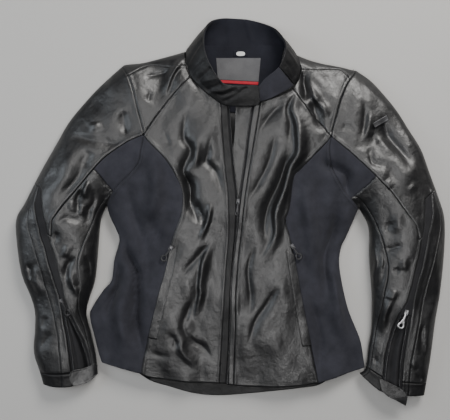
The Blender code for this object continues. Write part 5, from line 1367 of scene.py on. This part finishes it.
# Copies a small shape to many places, each with its own axes, as one piece
def scatter(name, template, faces, places, xAxis, finish):
    zAxis = np.tile([0.0, 0.0, 1.0], (len(places), 1))
    xAxis = unit(xAxis)
    yAxis = unit(np.cross(zAxis, xAxis))
    zAxis = np.cross(xAxis, yAxis)
    points = places[:, None] + sum(template[None, :, k:k + 1] * axis[:, None]
                                   for k, axis in enumerate((xAxis, yAxis, zAxis)))
    allFaces = (np.asarray(faces)[None] + len(template) * np.arange(len(places))[:, None, None])
    addPiece(name, points.reshape(-1, 3), allFaces.reshape(-1, 4), finish)


# A stitch: rings of six points about its length, closed at both ends
stitch = {"length": 2.6, "pitch": 3.6, "radius": 0.36, "sides": 6, "sunk": 0.05}
rows = np.array([(-0.5, 0.45), (-0.36, 1.0), (0.36, 1.0), (0.5, 0.45)])
angles = np.arange(stitch["sides"]) * 2 * np.pi / stitch["sides"]
radius = stitch["radius"]
stitchShape = np.array([(a * stitch["length"], r * radius * np.cos(t), r * radius * np.sin(t))
                        for a, r in rows for t in angles])
ids = np.arange(len(stitchShape)).reshape(len(rows), -1)
around = np.roll(ids, -1, axis=1)
stitchFaces = np.stack([ids[:-1], ids[1:], around[1:], around[:-1]], axis=-1).reshape(-1, 4)
caps = [(ids[0, 0], ids[0, 1], ids[0, 2], ids[0, 3]), (ids[0, 0], ids[0, 3], ids[0, 4], ids[0, 5]),
        (ids[-1, 3], ids[-1, 2], ids[-1, 1], ids[-1, 0]), (ids[-1, 5], ids[-1, 4], ids[-1, 3], ids[-1, 0])]
stitchFaces = np.vstack([stitchFaces[:, ::-1], caps])[:, ::-1]


# Stitches along a 3-D line at the stitch's pitch
def stitchPlaces(line):
    length = runLength(line, 3)
    where = np.arange(2, length[-1] - 2, stitch["pitch"])
    place = readAt(line, length, where)
    return place, readAt(line, length, where + 1) - place


# The rows of stitches beside the seams of one half; the height is the leather's own
hemRow, armholeRows = 9.0, (1.6, 5.5)
rowsOf = {half: [] for half in sleeves}
for half, sleeve in sleeves.items():
    marks, width = sleeve["marks"], sleeve["width"]
    for column, start, end, side, stitchRows in sleeveSeams(half):
        rows, column = slice(start, end), marks[column]
        u = sleeve["u"][rows, column]
        for row in stitchRows:
            share = sleeve["v"][rows, column][:, None] + side * row / width[rows][:, None]
            plan = sleevePlan(half, u, share)
            rowsOf[half].append(np.dstack([plan, sleeveHeight(u, plan)])[:, 0])
for half, body in bodies.items():
    ringTop = body["ring"][:body["marks"][6] + 1]
    lines = body["seams"] + [(ringTop[8:-8], turns[half], armholeRows),
                             (body["front"][0], turns[half], (hemRow,))]
    for line, side, stitchRows in lines:
        ahead = unit(np.gradient(line, axis=0))
        across = np.stack([-ahead[:, 1], ahead[:, 0]], axis=1)
        rowsOf[half] += [onTop((line + across * side * row)[:, None])[:, 0] for row in stitchRows]
rowsOf["right"] += [collarLine[k] for k in (5, len(collarLine) - 6)]
for half, lines in rowsOf.items():
    places, ahead = [np.vstack(part) for part in zip(*[stitchPlaces(line) for line in lines])]
    places[:, 2] -= stitch["sunk"]
    scatter(f"stitches{half.capitalize()}", stitchShape, stitchFaces, places, ahead, "thread")
print("stitches sewn:", [len(lines) for lines in rowsOf.values()])


# Zip teeth: blocks with a narrowed head, set along a tape's free edge
tooth = {"pitch": 1.9, "length": 2.8, "width": 1.2, "height": 1.5, "headWidth": 0.7, "headHeight": 0.8,
         "raised": 0.35, "back": 0.2}
size = np.array([tooth["length"], tooth["width"], tooth["height"]]) / 2
toothShape = np.array([(x, y * (tooth["headWidth"] if x > 0 else 1),
                        z * (tooth["headHeight"] if z > 0 else 1))
                       for x in (-1, 1) for y in (-1, 1) for z in (-1, 1)], float) * size
toothFaces = [(0, 1, 3, 2), (4, 6, 7, 5), (0, 4, 5, 1), (2, 3, 7, 6), (0, 2, 6, 4), (1, 5, 7, 3)]


# Teeth at the pitch along an edge, pointing away from the line inside it
def teethAlong(name, edge, inner):
    length = runLength(edge)
    where = np.arange(2, length[-1] - 1, tooth["pitch"])
    place = readAt(edge, length, where)
    out = place - readAt(inner, length, where)
    place[:, 2] += tooth["raised"]
    scatter(name, toothShape, toothFaces, place - out * tooth["back"], out, "teeth")


for half, (edge, inner) in zip(("Right", "Left"), tapeEdges):
    teethAlong("frontTeeth" + half, edge, inner)
for (half, edge, inner), side in zip(cuffEdges, ("Outer", "Inner") * 2):
    teethAlong(f"cuffTeeth{side}{half.capitalize()}", edge, inner)


# Hard pieces: rounded sliders from the frame's own forms, and pulls with a rounded ring
pullLook = {"thickness": 1.4, "bar": 3.0, "plate": 7.0, "plateFrom": 10.5, "ring": 13.0, "hole": 6.5,
            "frontRing": 7.0, "frontHole": 3.0, "barStart": -0.9, "slit": 0.06,
            "bevel": 0.0003}   # metres


# A flat outline with a hole: the bar's end, the plate beside the ring, round the ring and back; its
# section is a flattened oval
def addPull(node, ring, hole, finish, plate):
    joint = next(j for j in frame["joints"] if j["child"] == nodes[node]["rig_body"])
    mesh = nodes[node].data
    found = np.empty(len(mesh.vertices) * 3)
    mesh.vertices.foreach_get("co", found)
    found = found.reshape(-1, 3) / mm
    hinge = np.array(joint["pos_m"], float) / mm
    x = unit(found.mean(axis=0) - hinge)
    length = ((found - hinge) @ x).max() - ring / 2
    y = unit(np.cross((0, 0, 1), x))
    axes = np.column_stack([x, y, np.cross(x, y)])
    neck = np.arcsin(plate / ring)
    angles = np.linspace(np.pi - neck, neck - np.pi, 60)
    ringLine = np.stack([length + ring / 2 * np.cos(angles), ring / 2 * np.sin(angles)], axis=1)
    barPlaces = np.linspace(pullLook["barStart"], ringLine[0, 0], 24)[:-1]
    start = pullLook["plateFrom"]
    half = np.interp(barPlaces - length, (-start - 1, -start), (pullLook["bar"] / 2, plate / 2))
    bar = np.stack([barPlaces, half], axis=1)
    outer = np.vstack([bar, ringLine, bar[::-1] * [1, -1]])
    angles = np.linspace(np.pi - pullLook["slit"], pullLook["slit"] - np.pi, len(outer))
    inner = np.stack([length + hole / 2 * np.cos(angles), hole / 2 * np.sin(angles)], axis=1)
    t = np.linspace(0, 2 * np.pi, 16, endpoint=False)
    across, up = [np.sign(wave) * np.abs(wave) ** 0.5 for wave in (np.cos(t), np.sin(t))]
    across, up = across * 0.5 + 0.5, up * pullLook["thickness"] / 2
    flat = beside(inner, outer, across)
    points = np.dstack([flat, np.tile(up, (len(outer), 1))]).reshape(-1, 3) @ axes.T + hinge - originShift
    ids = np.arange(len(points)).reshape(len(outer), -1)
    ahead, around = np.roll(ids, -1, axis=0), np.roll(ids, -1, axis=1)
    faces = np.stack([ids, ahead, np.roll(ahead, -1, axis=1), around], axis=-1).reshape(-1, 4)
    addPiece(camelName(node) + "Ring", points, faces, finish, [node], nodes[node]["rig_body"])


# The frame's own slider with bevelled edges
def addSlider(node, finish):
    mesh = nodes[node].data.copy()
    shell = bmesh.new()
    shell.from_mesh(mesh)
    bmesh.ops.remove_doubles(shell, verts=shell.verts, dist=1e-6)
    bmesh.ops.dissolve_limit(shell, angle_limit=0.02, verts=shell.verts, edges=shell.edges)
    bmesh.ops.bevel(shell, geom=list(shell.edges), offset=pullLook["bevel"], segments=3, profile=0.5,
                    affect="EDGES", clamp_overlap=True)
    bmesh.ops.triangulate(shell, faces=shell.faces)
    bmesh.ops.recalc_face_normals(shell, faces=shell.faces)
    shell.to_mesh(mesh)
    shell.free()
    mesh.materials.clear()
    tie(camelName(node) + "Body", mesh, finish, [node], nodes[node]["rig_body"])


for node, finish in (("pocket_pull_right", "darkMetal"), ("pocket_pull_left", "darkMetal"),
                     ("cuff_pull_right", "darkMetal"), ("cuff_pull_left", "metal")):
    addPull(node, pullLook["ring"], pullLook["hole"], finish,
            pullLook["plate" if finish == "metal" else "bar"])
    addSlider(node.replace("pull", "slider"), "teeth" if finish == "darkMetal" else "metal")
addPull("front_pull", pullLook["frontRing"], pullLook["frontHole"], "darkMetal", pullLook["bar"])
addSlider("front_slider", "teeth")
print("zip pulls made")


# Floor, light and camera
studio = {
    "floor": (0.44, 0.435, 0.425), "floorReach": 4.0, "floorHeight": -0.0004, "floorRoughness": 0.85,
    "camera": (-0.0095, 0.0011, 1.515), "lens": 66.67,
    "world": (0.55, 0.58, 0.62), "worldStrength": 0.045,
}
# Each lamp's place, size along x and y, power, colour, and the point it faces
lamps = {
    "key": ((0.75, 1.45, 1.35), (1.0, 0.8), 46, (1.0, 0.98, 0.95), (0, 0, 0)),
    "window": ((-1.5, 0.3, 1.1), (0.8, 0.8), 11, (0.86, 0.93, 1.0), (0, 0, 0)),
    "ceiling": ((0.0, 0.0, 2.3), (2.4, 2.4), 4, (1.0, 0.99, 0.98), (0, 0, 0)),
    "panelCentre": ((-0.06, -0.15, 2.3), (0.42, 1.9), 21, (1.0, 0.99, 0.98), (-0.12, 0.0, 0)),
    "panelUpper": ((0.58, 0.5, 2.3), (0.26, 0.3), 1.7, (0.97, 0.99, 1.0), (0.62, 0.5, 0)),
    "panelSide": ((-0.85, -0.1, 2.3), (0.35, 0.7), 5, (0.95, 0.98, 1.0), (-0.85, -0.1, 0)),
    "panelLow": ((0.25, -0.7, 2.3), (0.3, 0.5), 2, (1.0, 0.99, 0.98), (0.28, -0.65, 0)),
}
mesh = bpy.data.meshes.new("floor")
reach = studio["floorReach"]
corners = [(-reach, -reach), (reach, -reach), (reach, reach), (-reach, reach)]
mesh.from_pydata([(*corner, studio["floorHeight"]) for corner in corners], [], [(0, 1, 2, 3)])
ground = newObject("floor", mesh)
mesh.materials.append(newMaterial("ground", studio["floor"], studio["floorRoughness"])[0])

for name, (place, (wide, tall), power, colour, target) in lamps.items():
    lamp = bpy.data.lights.new(name, "AREA")
    lamp.shape = "RECTANGLE"
    lamp.energy, lamp.size, lamp.size_y, lamp.color = power, wide, tall, colour
    light = newObject(name, lamp)
    light.location = place
    light.rotation_euler = (Vector(target) - Vector(place)).to_track_quat("-Z", "Y").to_euler()
world = bpy.data.worlds.new("studio")
world.use_nodes = True
world.node_tree.nodes["Background"].inputs["Color"].default_value = (*studio["world"], 1)
world.node_tree.nodes["Background"].inputs["Strength"].default_value = studio["worldStrength"]
bpy.context.scene.world = world

lens = bpy.data.cameras.new("camera")
lens.lens, lens.sensor_width = studio["lens"], 36
camera = newObject("camera", lens)
camera.location = studio["camera"]
bpy.context.scene.camera = camera
